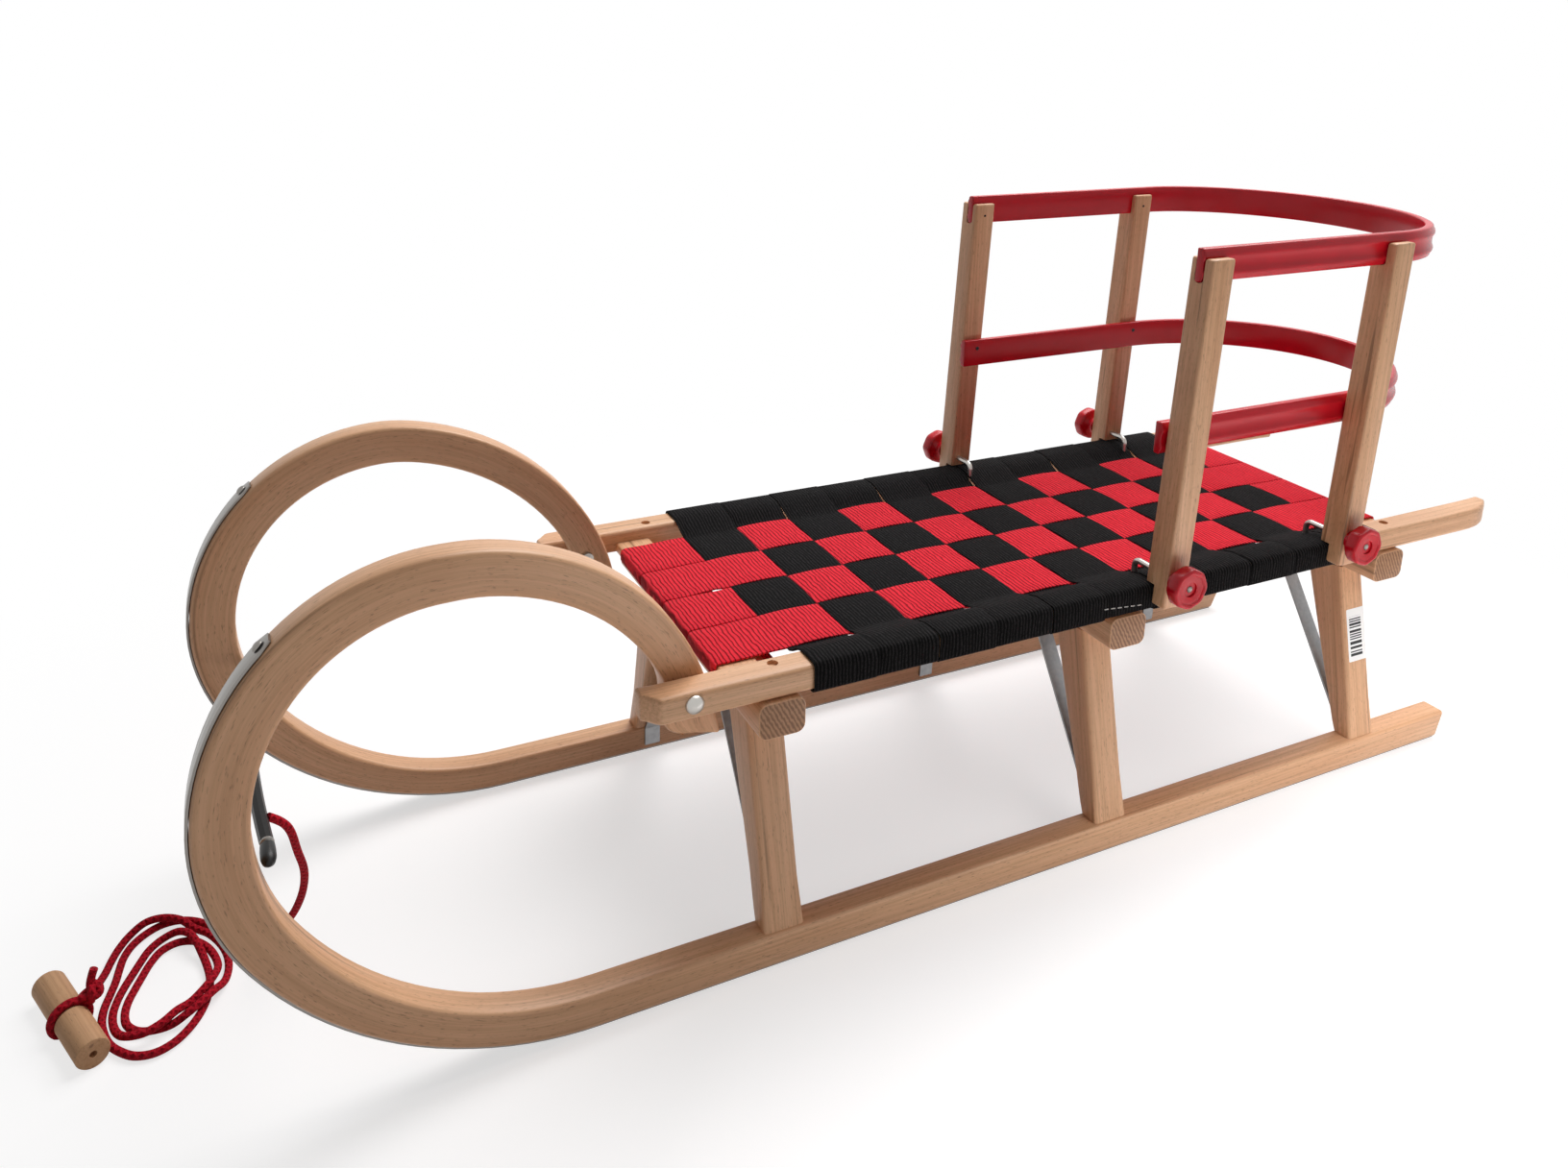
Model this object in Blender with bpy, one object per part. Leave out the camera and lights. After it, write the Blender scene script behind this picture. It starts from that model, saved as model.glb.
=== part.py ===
"""Wooden sled with two bent horns, a woven webbing seat and a removable backrest.

All sizes are in millimetres and are turned into metres where meshes are made.
+Z is up, the horns point to -Y, and the rider's left side is +X.
The origin lies on the ground, midway between the front of the horns and the
rear ends of the seat rails.
"""
import math

import bmesh
import bpy
from mathutils import Vector

MM = 0.001

# fits
gap = 0.3
bolt_clearance = 0.35

# steel shoes under the runners
shoe_width = 18.0
shoe_thick = 2.2
shoe_wrap_deg = 137.0

# runners, each one piece with its horn
runner_width = 25.0
runner_height = 27.5
runner_foot_x = 177.1
runner_lean = 0.058
runner_rear_y = 581.4
runner_rear_undercut = 0.36
runner_edge = 2.5
bend_start_y = -368.0
horn_arcs = ((253.0, 59.1), (163.0, 68.0), (148.5, 64.6), (196.0, 57.1), (170.0, 9.0))
horn_depths = (
    (0.0, 27.5), (20.0, 27.5), (60.0, 33.5), (90.0, 36.0), (135.0, 34.5), (180.0, 33.5),
    (225.0, 31.5), (260.0, 30.0),
)
horn_tail = 17.0
horn_root_swell = 11.0
horn_tail_skew = 16.0
horn_tail_round = 5.0
horn_tail_front_round = 13.0
horn_turn_in_y = -454.5
horn_seated_y = -300.0

# seat rails
rail_outer_x = 165.75
rail_width = 27.25
rail_height = 22.0
rail_front_y = -325.0
rail_length = 950.0
rail_edge = 4.0
rail_inner_edge = 8.0
rail_tip_length = 52.0
rail_tip_inset = 16.0
rail_nose_cut = ((0.0, 13.0), (2.0, 12.2), (5.0, 9.0), (8.0, 4.5), (11.0, 1.0), (14.0, 0.0))
rail_hole_radius = 4.5
rail_hole_x = 149.0

# crossbeams and what stands under them
beam_y = (-216.0, 124.0, 460.0)
beam_width = 40.0
beam_height = 31.0
beam_half_length = 169.0
beam_edge = 6.0
leg_height = 176.4
leg_shift = (3.5, -0.5, -3.0)
leg_foot_inset = 3.8
leg_foot_thick = 20.9
leg_top_thick = 43.0
leg_top_outer_x = 129.0
leg_foot_width = 36.0
leg_waist_width = 32.5
leg_chamfer = 4.0
stay_width = 16.0
stay_thick = 2.5
stay_foot_low = 7.5
stay_meet_x = 5.0
stay_tab = 25.0

# cross bars that carry the webbing
seat_bar_width = 34.0
seat_bar_height = 10.3
seat_bar_overhang = 14.0

# webbing
strap_thick = 2.2
black_straps = 11
black_width = 54.0
black_pitch = 57.2
black_first_y = -187.0
black_under = 17.0
red_straps = 4
red_width = 55.0
red_pitch = 59.5

# horn bolts
horn_bolt_y = -287.0
horn_bolt_height = 12.7
horn_bolt_radius = 3.0
horn_bolt_head_radius = 7.5
horn_bolt_head_height = 4.5
horn_nut_radius = 5.8
horn_nut_height = 4.6

# pull bar between the horns
pull_bar_z = 197.0
pull_bar_half_depth = 4.2
pull_bar_half_height = 4.0
pull_bar_end_x = 127.0
pull_bar_boss_end_x = 149.0
pull_bar_boss_radius = 5.5
pull_bar_bow = 6.0

# backrest posts
post_y = (160.6, 379.5)
post_outer_x = 183.5
post_width = 26.0
post_depth = 24.0
post_lap = 18.2
post_height = 294.0
post_lean = 0.046
slot_depth = 21.5
slot_inset = 6.0

# backrest bands
band_height = 29.0
band_thick = 9.6
band_edge = 7.4
upper_band_front = 1.0
upper_band_behind_post = 1.5
upper_band_depth = 131.0
lower_band_top = 410.0
lower_band_front = 3.5
lower_band_centre_y = 385.0
lower_band_depth = 167.0

# clamp hooks and their knobs
hook_radius = 2.75
hook_height = 9.0
hook_offset_y = -4.0
hook_bend = 6.5
hook_reach = 16.3
knob_hub_radius = 9.0
knob_hub_length = 6.5
knob_radius = 18.6
knob_length = 21.0
knob_lobes = 8
knob_lobe_depth = 0.7
knob_rim_width = 3.6
knob_rim_height = 1.2
knob_recess_radius = 6.6
knob_recess_depth = 3.0

# rope, its coil and its wooden toggle
rope_radius = 3.0
rope_bar_x = 94.0
rope_fall = (
    (-7.5, 13.5, 0.903), (-24.7, 16.5, 0.73), (-37.1, 20.2, 0.622), (-57.8, 17.9, 0.434),
    (-79.3, 7.7, 0.245), (-98.0, -3.0, 0.133), (-116.0, -17.0, 0.052),
)
# x, y and how many rope diameters the rope lies above the ground
coil_knots = (
    (-52.1, -627.3, 0.00), (-61.9, -636.4, 0.00), (-71.0, -646.2, 0.00), (-76.9, -658.1, 0.00),
    (-76.9, -671.3, 0.00), (-70.7, -683.1, 0.00), (-61.0, -692.2, 0.00), (-49.1, -697.7, 0.00),
    (-36.1, -700.3, 0.00), (-23.0, -702.3, 0.00), (-10.1, -705.4, 0.00), (3.1, -708.6, 0.00),
    (16.5, -709.6, 0.00), (29.7, -707.6, 0.00), (42.3, -703.2, 0.00), (53.2, -695.5, 0.00),
    (61.8, -685.4, 0.00), (64.6, -672.5, 0.00), (60.0, -660.1, 0.00), (50.8, -650.4, 0.00),
    (39.6, -643.2, 0.00), (27.2, -638.3, 0.00), (14.0, -635.7, 0.00), (0.7, -635.6, 0.00),
    (-12.6, -637.4, 0.00), (-25.3, -640.5, 0.37), (-37.3, -644.6, 1.10), (-49.0, -650.2, 1.18),
    (-57.4, -659.0, 0.75), (-57.6, -670.6, 0.13), (-49.8, -679.5, 0.00), (-38.3, -685.3, 0.00),
    (-26.2, -690.6, 0.00), (-14.0, -695.8, 0.00), (-1.4, -700.0, 0.00), (11.8, -702.4, 0.00),
    (25.1, -701.4, 0.03), (37.0, -697.2, 0.27), (46.0, -689.6, 0.87), (49.4, -678.6, 1.20),
    (45.2, -667.6, 1.30), (37.0, -658.0, 1.30), (29.4, -649.0, 0.87), (22.4, -640.6, 1.13),
    (12.6, -633.2, 1.20), (0.9, -629.6, 0.77), (-11.4, -629.6, 0.07), (-23.6, -632.4, 0.00),
    (-35.8, -637.9, 0.00), (-45.9, -646.5, 0.00), (-49.6, -658.8, 0.00), (-44.8, -670.6, 0.00),
    (-34.0, -678.0, 0.00), (-21.7, -683.2, 0.00), (-9.3, -688.0, 0.00), (3.3, -692.4, 0.00),
    (16.0, -694.2, 0.00), (28.2, -692.2, 0.00), (37.6, -684.6, 0.00), (41.4, -673.2, 0.00),
    (41.8, -661.8, 0.12), (40.8, -651.2, 0.90), (35.2, -641.4, 1.22), (24.6, -631.6, 1.03),
    (13.0, -625.0, 0.27), (0.0, -622.0, 0.00), (-13.4, -621.9, 0.00), (-26.8, -624.6, 0.00),
    (-39.6, -629.6, 0.00), (-51.4, -636.6, 0.00), (-61.0, -646.8, 0.20), (-70.4, -656.2, 0.88),
    (-76.2, -668.8, 1.20), (-77.6, -682.2, 1.03), (-72.4, -694.0, 0.30), (-61.6, -701.8, 0.00),
    (-49.2, -706.4, 0.00), (-36.6, -710.0, 0.03), (-24.6, -713.2, 0.43), (-13.6, -714.2, 1.47),
)
toggle_radius = 12.0
toggle_half_length = 47.6
toggle_centre = (13.2, -729.5)
toggle_turn_deg = 22.2
toggle_end_hole_radius = 2.4
toggle_end_hole_depth = 9.0
knot_radius = 8.0
knot_lift_deg = 40.0
knot_tail = 15.0
knot_entry = (-0.75, 0.44, -0.5)

# levels, from the ground up
runner_bottom = shoe_thick + gap
runner_top = runner_bottom + runner_height
leg_bottom = runner_top + gap
leg_top = leg_bottom + leg_height
beam_bottom = leg_top + gap
beam_top = beam_bottom + beam_height
rail_bottom = beam_top + gap
rail_top = rail_bottom + rail_height
strap_top = rail_top + gap + strap_thick
bar_bottom = beam_top + gap
bar_top = bar_bottom + seat_bar_height
red_low = bar_top + gap
black_low = red_low + strap_thick + gap
black_high = black_low + strap_thick
post_seat = strap_top + gap
post_base = post_seat - post_lap
post_top = post_base + 18.2 + post_height
hook_z = strap_top + hook_height
rope_level = rope_radius + 0.4
horn_bolt_z = rail_bottom + horn_bolt_height

# lines across the sled
rail_inner_x = rail_outer_x - rail_width
strap_outer_x = rail_outer_x + gap + strap_thick
post_inner_x = post_outer_x - post_width
post_lap_x = strap_outer_x + gap
rail_rear_y = rail_front_y + rail_length
slot_low = post_top - slot_depth


def runner_spine(step_deg=8.0):
    """Stations of the runner's centre line: y, z, heading, degrees turned, run along it."""
    y = bend_start_y
    z = runner_bottom + runner_height / 2
    heading = math.pi
    turned = 0.0
    stations = [(runner_rear_y, z, heading, 0.0), ((runner_rear_y + y) / 2, z, heading, 0.0)]
    stations.append((y, z, heading, 0.0))
    for radius, degrees in horn_arcs:
        side = heading - math.pi / 2
        cy = y + radius * math.cos(side)
        cz = z + radius * math.sin(side)
        steps = max(1, round(degrees / step_deg))
        for i in range(1, steps + 1):
            h = heading - math.radians(degrees) * i / steps
            side = h - math.pi / 2
            y = cy - radius * math.cos(side)
            z = cz - radius * math.sin(side)
            stations.append((y, z, h, turned + degrees * i / steps))
        heading = h
        turned += degrees
    for i in (1, 2):
        y += horn_tail / 2 * math.cos(heading)
        z += horn_tail / 2 * math.sin(heading)
        stations.append((y, z, heading, turned))
    return stations


def horn_half(turned):
    """Half of the runner's depth, which grows along the bend."""
    scale = runner_height / horn_depths[0][1]
    for (t0, d0), (t1, d1) in zip(horn_depths, horn_depths[1:]):
        if turned <= t1:
            return (d0 + (d1 - d0) * (turned - t0) / (t1 - t0)) * scale / 2
    return horn_depths[-1][1] * scale / 2


SPINE = runner_spine()
horn_front_y = min(s[0] - horn_half(s[3]) for s in SPINE) - gap - shoe_thick
middle_y = (horn_front_y + rail_rear_y) / 2


def runner_x(y, z, turned):
    """X of the runner's outer face, which leans in and closes onto the rail at the top."""
    lean_x = runner_foot_x - runner_lean * (z - runner_bottom)
    if turned < 150.0:
        return lean_x
    share = (y - horn_turn_in_y) / (horn_seated_y - horn_turn_in_y)
    share = min(1.0, max(0.0, share))
    return lean_x + (rail_inner_x - gap - lean_x) * share


def material(name, colour, roughness, metallic=0.0):
    mat = bpy.data.materials.new(name)
    mat.use_nodes = True
    shader = mat.node_tree.nodes["Principled BSDF"]
    shader.inputs["Base Color"].default_value = (*colour, 1.0)
    shader.inputs["Roughness"].default_value = roughness
    shader.inputs["Metallic"].default_value = metallic
    mat.diffuse_color = (*colour, 1.0)
    return mat


WOOD = (0.56, 0.36, 0.2)
RED = (0.62, 0.03, 0.035)
BLACK = (0.014, 0.014, 0.016)
STEEL = (0.62, 0.62, 0.6)
DARK_STEEL = (0.1, 0.1, 0.105)

PARENTS = {}


def parent_empty(name, at):
    empty = bpy.data.objects.new(name, None)
    empty.location = Vector((at[0], at[1] - middle_y, at[2])) * MM
    bpy.context.scene.collection.objects.link(empty)
    PARENTS[name] = empty
    return empty


def place(obj, at, parent):
    location = Vector((at[0], at[1] - middle_y, at[2])) * MM
    if parent:
        obj.parent = PARENTS[parent]
        location = location - PARENTS[parent].location
    obj.location = location


def solid(name, points, faces, mat, at=(0.0, 0.0, 0.0), parent="sled", smooth=None):
    """One closed mesh object from points in sled millimetres; its origin is put at `at`."""
    mesh = bpy.data.meshes.new(name)
    base = Vector(at)
    mesh.from_pydata([(Vector(p) - base) * MM for p in points], [], faces)
    work = bmesh.new()
    work.from_mesh(mesh)
    bmesh.ops.recalc_face_normals(work, faces=work.faces)
    work.to_mesh(mesh)
    work.free()
    mesh.materials.append(mat)
    if smooth is not None:
        mesh.shade_smooth()
        mesh.set_sharp_from_angle(angle=math.radians(smooth))
    obj = bpy.data.objects.new(name, mesh)
    bpy.context.scene.collection.objects.link(obj)
    place(obj, at, parent)
    return obj


def loft(name, rings, mat, closed=False, **kw):
    """Skin equal rings of points; caps both ends unless the run of rings closes."""
    count = len(rings[0])
    points = [p for ring in rings for p in ring]
    faces = []
    spans = len(rings) if closed else len(rings) - 1
    for i in range(spans):
        a = i * count
        b = (i + 1) % len(rings) * count
        for j in range(count):
            k = (j + 1) % count
            faces.append((a + j, a + k, b + k, b + j))
    if not closed:
        faces.append(tuple(range(count)))
        faces.append(tuple((len(rings) - 1) * count + j for j in range(count)))
    return solid(name, points, faces, mat, **kw)


def mirror_x(rings, side):
    return [[(side * p[0], p[1], p[2]) for p in ring] for ring in rings]


def chamfered(x0, x1, y0, y1, z, cut):
    """Eight corners of a level rectangle with cut corners."""
    return [
        (x0 + cut, y0, z), (x1 - cut, y0, z), (x1, y0 + cut, z), (x1, y1 - cut, z),
        (x1 - cut, y1, z), (x0 + cut, y1, z), (x0, y1 - cut, z), (x0, y0 + cut, z),
    ]


def rounded_outline(corners, steps=3):
    """Corners (u, v, radius) of a convex outline, with each corner turned into an arc."""
    out = []
    count = len(corners)
    for i, (u, v, radius) in enumerate(corners):
        here = Vector((u, v))
        if radius <= 0:
            out.append((u, v))
            continue
        before = (Vector(corners[i - 1][:2]) - here).normalized()
        after = (Vector(corners[(i + 1) % count][:2]) - here).normalized()
        half = before.angle(after) / 2
        reach = radius / math.tan(half)
        centre = here + (before + after).normalized() * radius / math.sin(half)
        start = here + before * reach - centre
        end = here + after * reach - centre
        turn = math.atan2(start.x * end.y - start.y * end.x, start.dot(end))
        for s in range(steps + 1):
            a = turn * s / steps
            c, n = math.cos(a), math.sin(a)
            out.append((centre.x + start.x * c - start.y * n, centre.y + start.x * n + start.y * c))
    return out


def strip_outline(line, thick):
    """Outline of a strip of even thickness along an open polyline in a plane."""
    left, right = [], []
    for i, point in enumerate(line):
        p = Vector(point)
        into = (p - Vector(line[i - 1])).normalized() if i else None
        out = (Vector(line[i + 1]) - p).normalized() if i < len(line) - 1 else None
        if into is None or out is None:
            d = into or out
            normal = Vector((-d.y, d.x)) * thick / 2
        else:
            normal = (Vector((-into.y, into.x)) + Vector((-out.y, out.x))).normalized()
            normal = normal * thick / 2 / normal.dot(Vector((-into.y, into.x)))
        left.append(tuple(p + normal))
        right.append(tuple(p - normal))
    return left + right[::-1]


def tube_rings(path, radius, sides, turn=0.0):
    """Rings of a round rod along a path of points, square to it."""
    rings = []
    points = [Vector(p) for p in path]
    guide = None
    for i, p in enumerate(points):
        ahead = points[min(i + 1, len(points) - 1)] - p
        behind = p - points[max(i - 1, 0)]
        d = (ahead.normalized() + behind.normalized()).normalized()
        if guide is None:
            guide = d.orthogonal().normalized()
        guide = (guide - d * guide.dot(d)).normalized()
        other = d.cross(guide)
        r = radius[i] if isinstance(radius, (list, tuple)) else radius
        rings.append([
            tuple(p + (guide * math.cos(a) + other * math.sin(a)) * r)
            for a in (turn + 2 * math.pi * k / sides for k in range(sides))
        ])
    return rings


def cutter(name, start, end, radius, sides=20):
    """A round cutter between two points, kept as a guide that isn't part of the model."""
    obj = loft(name, tube_rings([start, end], radius, sides), CUT_MATERIAL, parent=None)
    obj.hide_render = True
    obj.display_type = "WIRE"
    return obj


def drill(obj, tool, operation="DIFFERENCE"):
    mod = obj.modifiers.new(tool.name, "BOOLEAN")
    mod.operation = operation
    mod.object = tool
    mod.solver = "EXACT"


def spun(name, profile, centre, sides, mat, axis=1, lobes=0, depth=0.0, **kw):
    """Turn a profile of (along, radius, lobed) about an axis along X through centre.

    A profile that ends at radius 0 closes on the axis; any other one is a closed loop
    around a bore.
    """
    rings = []
    bored = min(r for _, r, _ in profile) > 0
    for k in range(sides):
        a = 2 * math.pi * k / sides
        ring = []
        for along, radius, lobed in profile:
            r = radius
            if lobed:
                r -= depth * (0.5 - 0.5 * math.cos(lobes * a))
            ring.append((centre[0] + axis * along, centre[1] + r * math.cos(a), centre[2] + r * math.sin(a)))
        rings.append(ring)
    if bored:
        return loft(name, rings, mat, closed=True, **kw)
    count = len(profile)
    points = [rings[0][0], rings[0][-1]]
    faces = []
    for ring in rings:
        points.extend(ring[1:-1])
    inner = count - 2
    for k in range(sides):
        a = 2 + k * inner
        b = 2 + (k + 1) % sides * inner
        faces.append((0, a, b))
        faces.append((1, b + inner - 1, a + inner - 1))
        for j in range(inner - 1):
            faces.append((a + j, a + j + 1, b + j + 1, b + j))
    return solid(name, points, faces, mat, **kw)


def smooth_route(knots, spacing, start=None, end=None):
    """Even points on a smooth curve through the knots, with given end directions."""
    pts = [Vector(k) for k in knots]
    slopes = []
    for i in range(len(pts)):
        a, b = pts[max(i - 1, 0)], pts[min(i + 1, len(pts) - 1)]
        slopes.append((b - a) / (2.0 if 0 < i < len(pts) - 1 else 1.0))
    if start:
        slopes[0] = Vector(start).normalized() * (pts[1] - pts[0]).length
    if end:
        slopes[-1] = Vector(end).normalized() * (pts[-1] - pts[-2]).length
    fine = []
    for i in range(len(pts) - 1):
        for s in range(24):
            t = s / 24
            h1, h2 = 2 * t**3 - 3 * t**2 + 1, t**3 - 2 * t**2 + t
            h3, h4 = 3 * t**2 - 2 * t**3, t**3 - t**2
            fine.append(pts[i] * h1 + slopes[i] * h2 + pts[i + 1] * h3 + slopes[i + 1] * h4)
    fine.append(pts[-1])
    run = [0.0]
    for a, b in zip(fine, fine[1:]):
        run.append(run[-1] + (b - a).length)
    count = max(2, round(run[-1] / spacing))
    out = []
    j = 0
    for i in range(count + 1):
        want = run[-1] * i / count
        while j < len(run) - 2 and run[j + 1] < want:
            j += 1
        share = (want - run[j]) / max(1e-9, run[j + 1] - run[j])
        out.append(fine[j].lerp(fine[j + 1], min(1.0, share)))
    return out


def rope_curve(name, path, mat, resolution):
    """A rope stretch as a curve object with a round bevel and filled ends."""
    curve = bpy.data.curves.new(name, "CURVE")
    curve.dimensions = "3D"
    curve.bevel_depth = rope_radius * MM
    curve.bevel_resolution = resolution
    curve.use_fill_caps = True
    curve.twist_mode = "MINIMUM"
    spline = curve.splines.new("POLY")
    spline.points.add(len(path) - 1)
    for point, p in zip(spline.points, path):
        point.co = (p[0] * MM, (p[1] - middle_y) * MM, p[2] * MM, 1.0)
    curve.materials.append(mat)
    obj = bpy.data.objects.new(name, curve)
    bpy.context.scene.collection.objects.link(obj)
    return obj


def shoe(side, name, mat):
    rings = []
    for i, (y, z, h, turned) in enumerate(SPINE):
        if turned > shoe_wrap_deg:
            break
        inner = horn_half(turned) + gap
        ny, nz = math.cos(h - math.pi / 2), math.sin(h - math.pi / 2)
        if i == 0:
            y -= runner_height * runner_rear_undercut - 2.0
        ring = []
        for off, sign in ((inner, -1), (inner, 1), (inner + shoe_thick, 1), (inner + shoe_thick, -1)):
            py, pz = y - ny * off, z - nz * off
            px = runner_x(y, z, turned) - runner_width / 2 + sign * shoe_width / 2
            ring.append((px, py, pz))
        rings.append(ring)
    return loft(name, mirror_x(rings, side), mat, at=(side * runner_foot_x, 0.0, 0.0))


def runner(side, name, mat):
    rings = []
    last = len(SPINE) - 1
    for i, (y, z, h, turned) in enumerate(SPINE):
        ny, nz = math.cos(h - math.pi / 2), math.sin(h - math.pi / 2)
        half = horn_half(turned)
        inner = half
        if z < rail_top and turned > 180.0:
            inner += horn_root_swell * min(1.0, (rail_top - z) / (rail_height + 12.0))
        shrink = horn_tail_round if i == last else 0.0
        front_shrink = horn_tail_front_round if i == last else 0.0
        skew = horn_tail_skew if i == last else 0.0
        e = runner_edge
        ring = []
        for off, inset in (
            (-half, e), (-half + e, 0.0), (inner - e, 0.0), (inner, e),
            (inner, runner_width - e), (inner - e, runner_width),
            (-half + e, runner_width), (-half, runner_width - e),
        ):
            off = min(max(off, -half + shrink), inner - front_shrink)
            drop = skew * (inner - off) / (half + inner)
            py, pz = y + ny * off + math.cos(h) * drop, z + nz * off + math.sin(h) * drop
            if i == 0:
                py -= (half - off) * runner_rear_undercut
            px = runner_x(y, pz, turned) - inset
            ring.append((px, py, pz))
        rings.append(ring)
    obj = loft(name, mirror_x(rings, side), mat, at=(side * runner_foot_x, 0.0, 0.0), smooth=25)
    return obj


def rail(side, name, mat):
    def section(y, outer):
        corners = [
            (rail_inner_x, rail_bottom, rail_edge), (outer, rail_bottom, rail_edge),
            (outer, rail_top, rail_edge), (rail_inner_x, rail_top, rail_inner_edge),
        ]
        return [(side * u, y, v) for u, v in rounded_outline(corners)]

    rings = [section(rail_front_y + back, rail_outer_x - inset) for back, inset in rail_nose_cut]
    for share in (0.0, 0.35, 0.65, 0.87, 1.0):
        inset = rail_tip_inset * share**2.6
        rings.append(section(rail_rear_y - rail_tip_length * (1 - share), rail_outer_x - inset))
    return loft(name, rings, mat, at=(side * rail_hole_x, 0.0, rail_bottom), smooth=30)


def leg(side, y, name, mat):
    rings = []
    top_edge_x = runner_x(0.0, runner_top, 0.0)
    foot_outer = top_edge_x - leg_foot_inset
    for share in (0.0, 0.04, 0.1, 0.22, 0.45, 0.72, 0.9, 0.96, 1.0):
        z = leg_bottom + leg_height * share
        outer = foot_outer + (leg_top_outer_x - foot_outer) * share
        thick = leg_foot_thick + (leg_top_thick - leg_foot_thick) * share**0.75
        half = leg_foot_width / 2 - (leg_foot_width - leg_waist_width) / 2 * min(1.0, share / 0.22)
        cut = leg_chamfer if 0.08 < share < 0.93 else 0.6
        rings.append(chamfered(outer - thick, outer, y - half, y + half, z, cut))
    return loft(name, mirror_x(rings, side), mat, at=(side * foot_outer, y, leg_bottom))


def stay(side, y, name, mat):
    low = runner_bottom + stay_foot_low

    def face_x(z):
        return runner_x(0.0, z, 0.0) - runner_width - gap - stay_thick / 2

    level = beam_bottom - gap - stay_thick / 2
    line = [(face_x(low), low), (face_x(runner_top), runner_top + 0.5)]
    line += [(stay_meet_x + stay_tab, level), (stay_meet_x, level)]
    outline = strip_outline(line, stay_thick)
    rings = [[(side * u, y + s * stay_width / 2, v) for u, v in outline] for s in (-1, 1)]
    return loft(name, rings, mat, at=(side * line[0][0], y, low))


def boxed(name, x0, x1, y0, y1, z0, z1, mat, edge, parent="sled"):
    rings = [[(x, y0, z0), (x, y1, z0), (x, y1, z1), (x, y0, z1)] for x in (x0, x1)]
    obj = loft(name, rings, mat, at=((x0 + x1) / 2, (y0 + y1) / 2, z0), parent=parent)
    bevel = obj.modifiers.new("edges", "BEVEL")
    bevel.width = edge * MM
    bevel.segments = 2
    bevel.limit_method = "ANGLE"
    return obj


def black_strap(index, name, mat):
    y0 = black_first_y + black_pitch * index
    y1 = y0 + black_width
    half = strap_thick / 2
    side_x = rail_outer_x + gap + half
    top = rail_top + gap + half
    low = rail_bottom - gap - half
    round_in = rail_inner_edge + gap + half
    corner = rail_edge + gap + half
    cx = rail_inner_x + rail_inner_edge
    cz = rail_top - rail_inner_edge
    over_beam = any(abs((y0 + y1) / 2 - b) < (beam_width + black_width) / 2 for b in beam_y)
    line = []
    if over_beam:
        line.append((side_x, rail_bottom + gap))
    else:
        line.append((side_x - black_under, low))
        for deg in (-90.0, -60.0, -30.0, 0.0):
            a = math.radians(deg)
            line.append((side_x - corner + corner * math.cos(a), low + corner + corner * math.sin(a)))
    for deg in (0.0, 30.0, 60.0, 90.0):
        a = math.radians(deg)
        line.append((side_x - corner + corner * math.cos(a), top - corner + corner * math.sin(a)))
    for deg in (0.0, 30.0, 56.0):
        a = math.radians(deg)
        line.append((cx - round_in * math.sin(a), cz + round_in * math.cos(a)))
    line.append((rail_inner_x - 2.6, black_low + half))
    line = line + [(-u, v) for u, v in reversed(line)]
    outline = strip_outline(line, strap_thick)
    rings = [[(u, y, v) for u, v in outline] for y in (y0, y1)]
    return loft(name, rings, mat, at=(0.0, (y0 + y1) / 2, black_low))


def red_strap(index, name, mat):
    x = (index - (red_straps - 1) / 2) * red_pitch
    half = strap_thick / 2
    front = front_bar_y0 - gap - half
    rear = rear_bar_y1 + gap + half
    top = bar_top + gap + half
    low = bar_bottom - gap - half
    line = [
        (beam_y[0] - beam_width / 2 - gap, low), (front + 2, low), (front, low + 2),
        (front, top - 3), (front + 1, top - 1), (front + 3, top),
        (rear - 3, top), (rear - 1, top - 1), (rear, top - 3), (rear, low + 2),
        (rear - 2, low), (beam_y[-1] + beam_width / 2 + gap, low),
    ]
    outline = strip_outline(line, strap_thick)
    rings = [[(x + s * red_width / 2, u, v) for u, v in outline] for s in (-1, 1)]
    return loft(name, rings, mat, at=(x, 0.0, red_low))


def horn_bolt(side, name, mat):
    head = rail_outer_x + gap
    nut = rail_inner_x - gap - runner_width - gap
    r = horn_bolt_radius
    profile = [
        (head + horn_bolt_head_height, 0.0, False),
        (head + horn_bolt_head_height * 0.9, horn_bolt_head_radius * 0.45, False),
        (head + horn_bolt_head_height * 0.55, horn_bolt_head_radius * 0.82, False),
        (head, horn_bolt_head_radius, False), (head, r, False), (nut, r, False),
        (nut, horn_nut_radius, False), (nut - horn_nut_height, horn_nut_radius * 0.9, False),
        (nut - horn_nut_height, 0.0, False),
    ]
    centre = (0.0, horn_bolt_y, horn_bolt_z)
    return spun(name, profile, centre, 16, mat, axis=side, at=(side * head, *centre[1:]), smooth=35)


def horn_face_y(z):
    """Y of the horns' concave face at a height on their front rise."""
    best = None
    for a, b in zip(SPINE, SPINE[1:]):
        if a[3] < 150.0 and min(a[1], b[1]) <= z <= max(a[1], b[1]):
            share = (z - a[1]) / (b[1] - a[1])
            best = a[0] + (b[0] - a[0]) * share + horn_half(a[3] + (b[3] - a[3]) * share)
    return best


def pull_bar_y():
    return horn_face_y(pull_bar_z) + gap + pull_bar_boss_radius + 0.2


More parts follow.
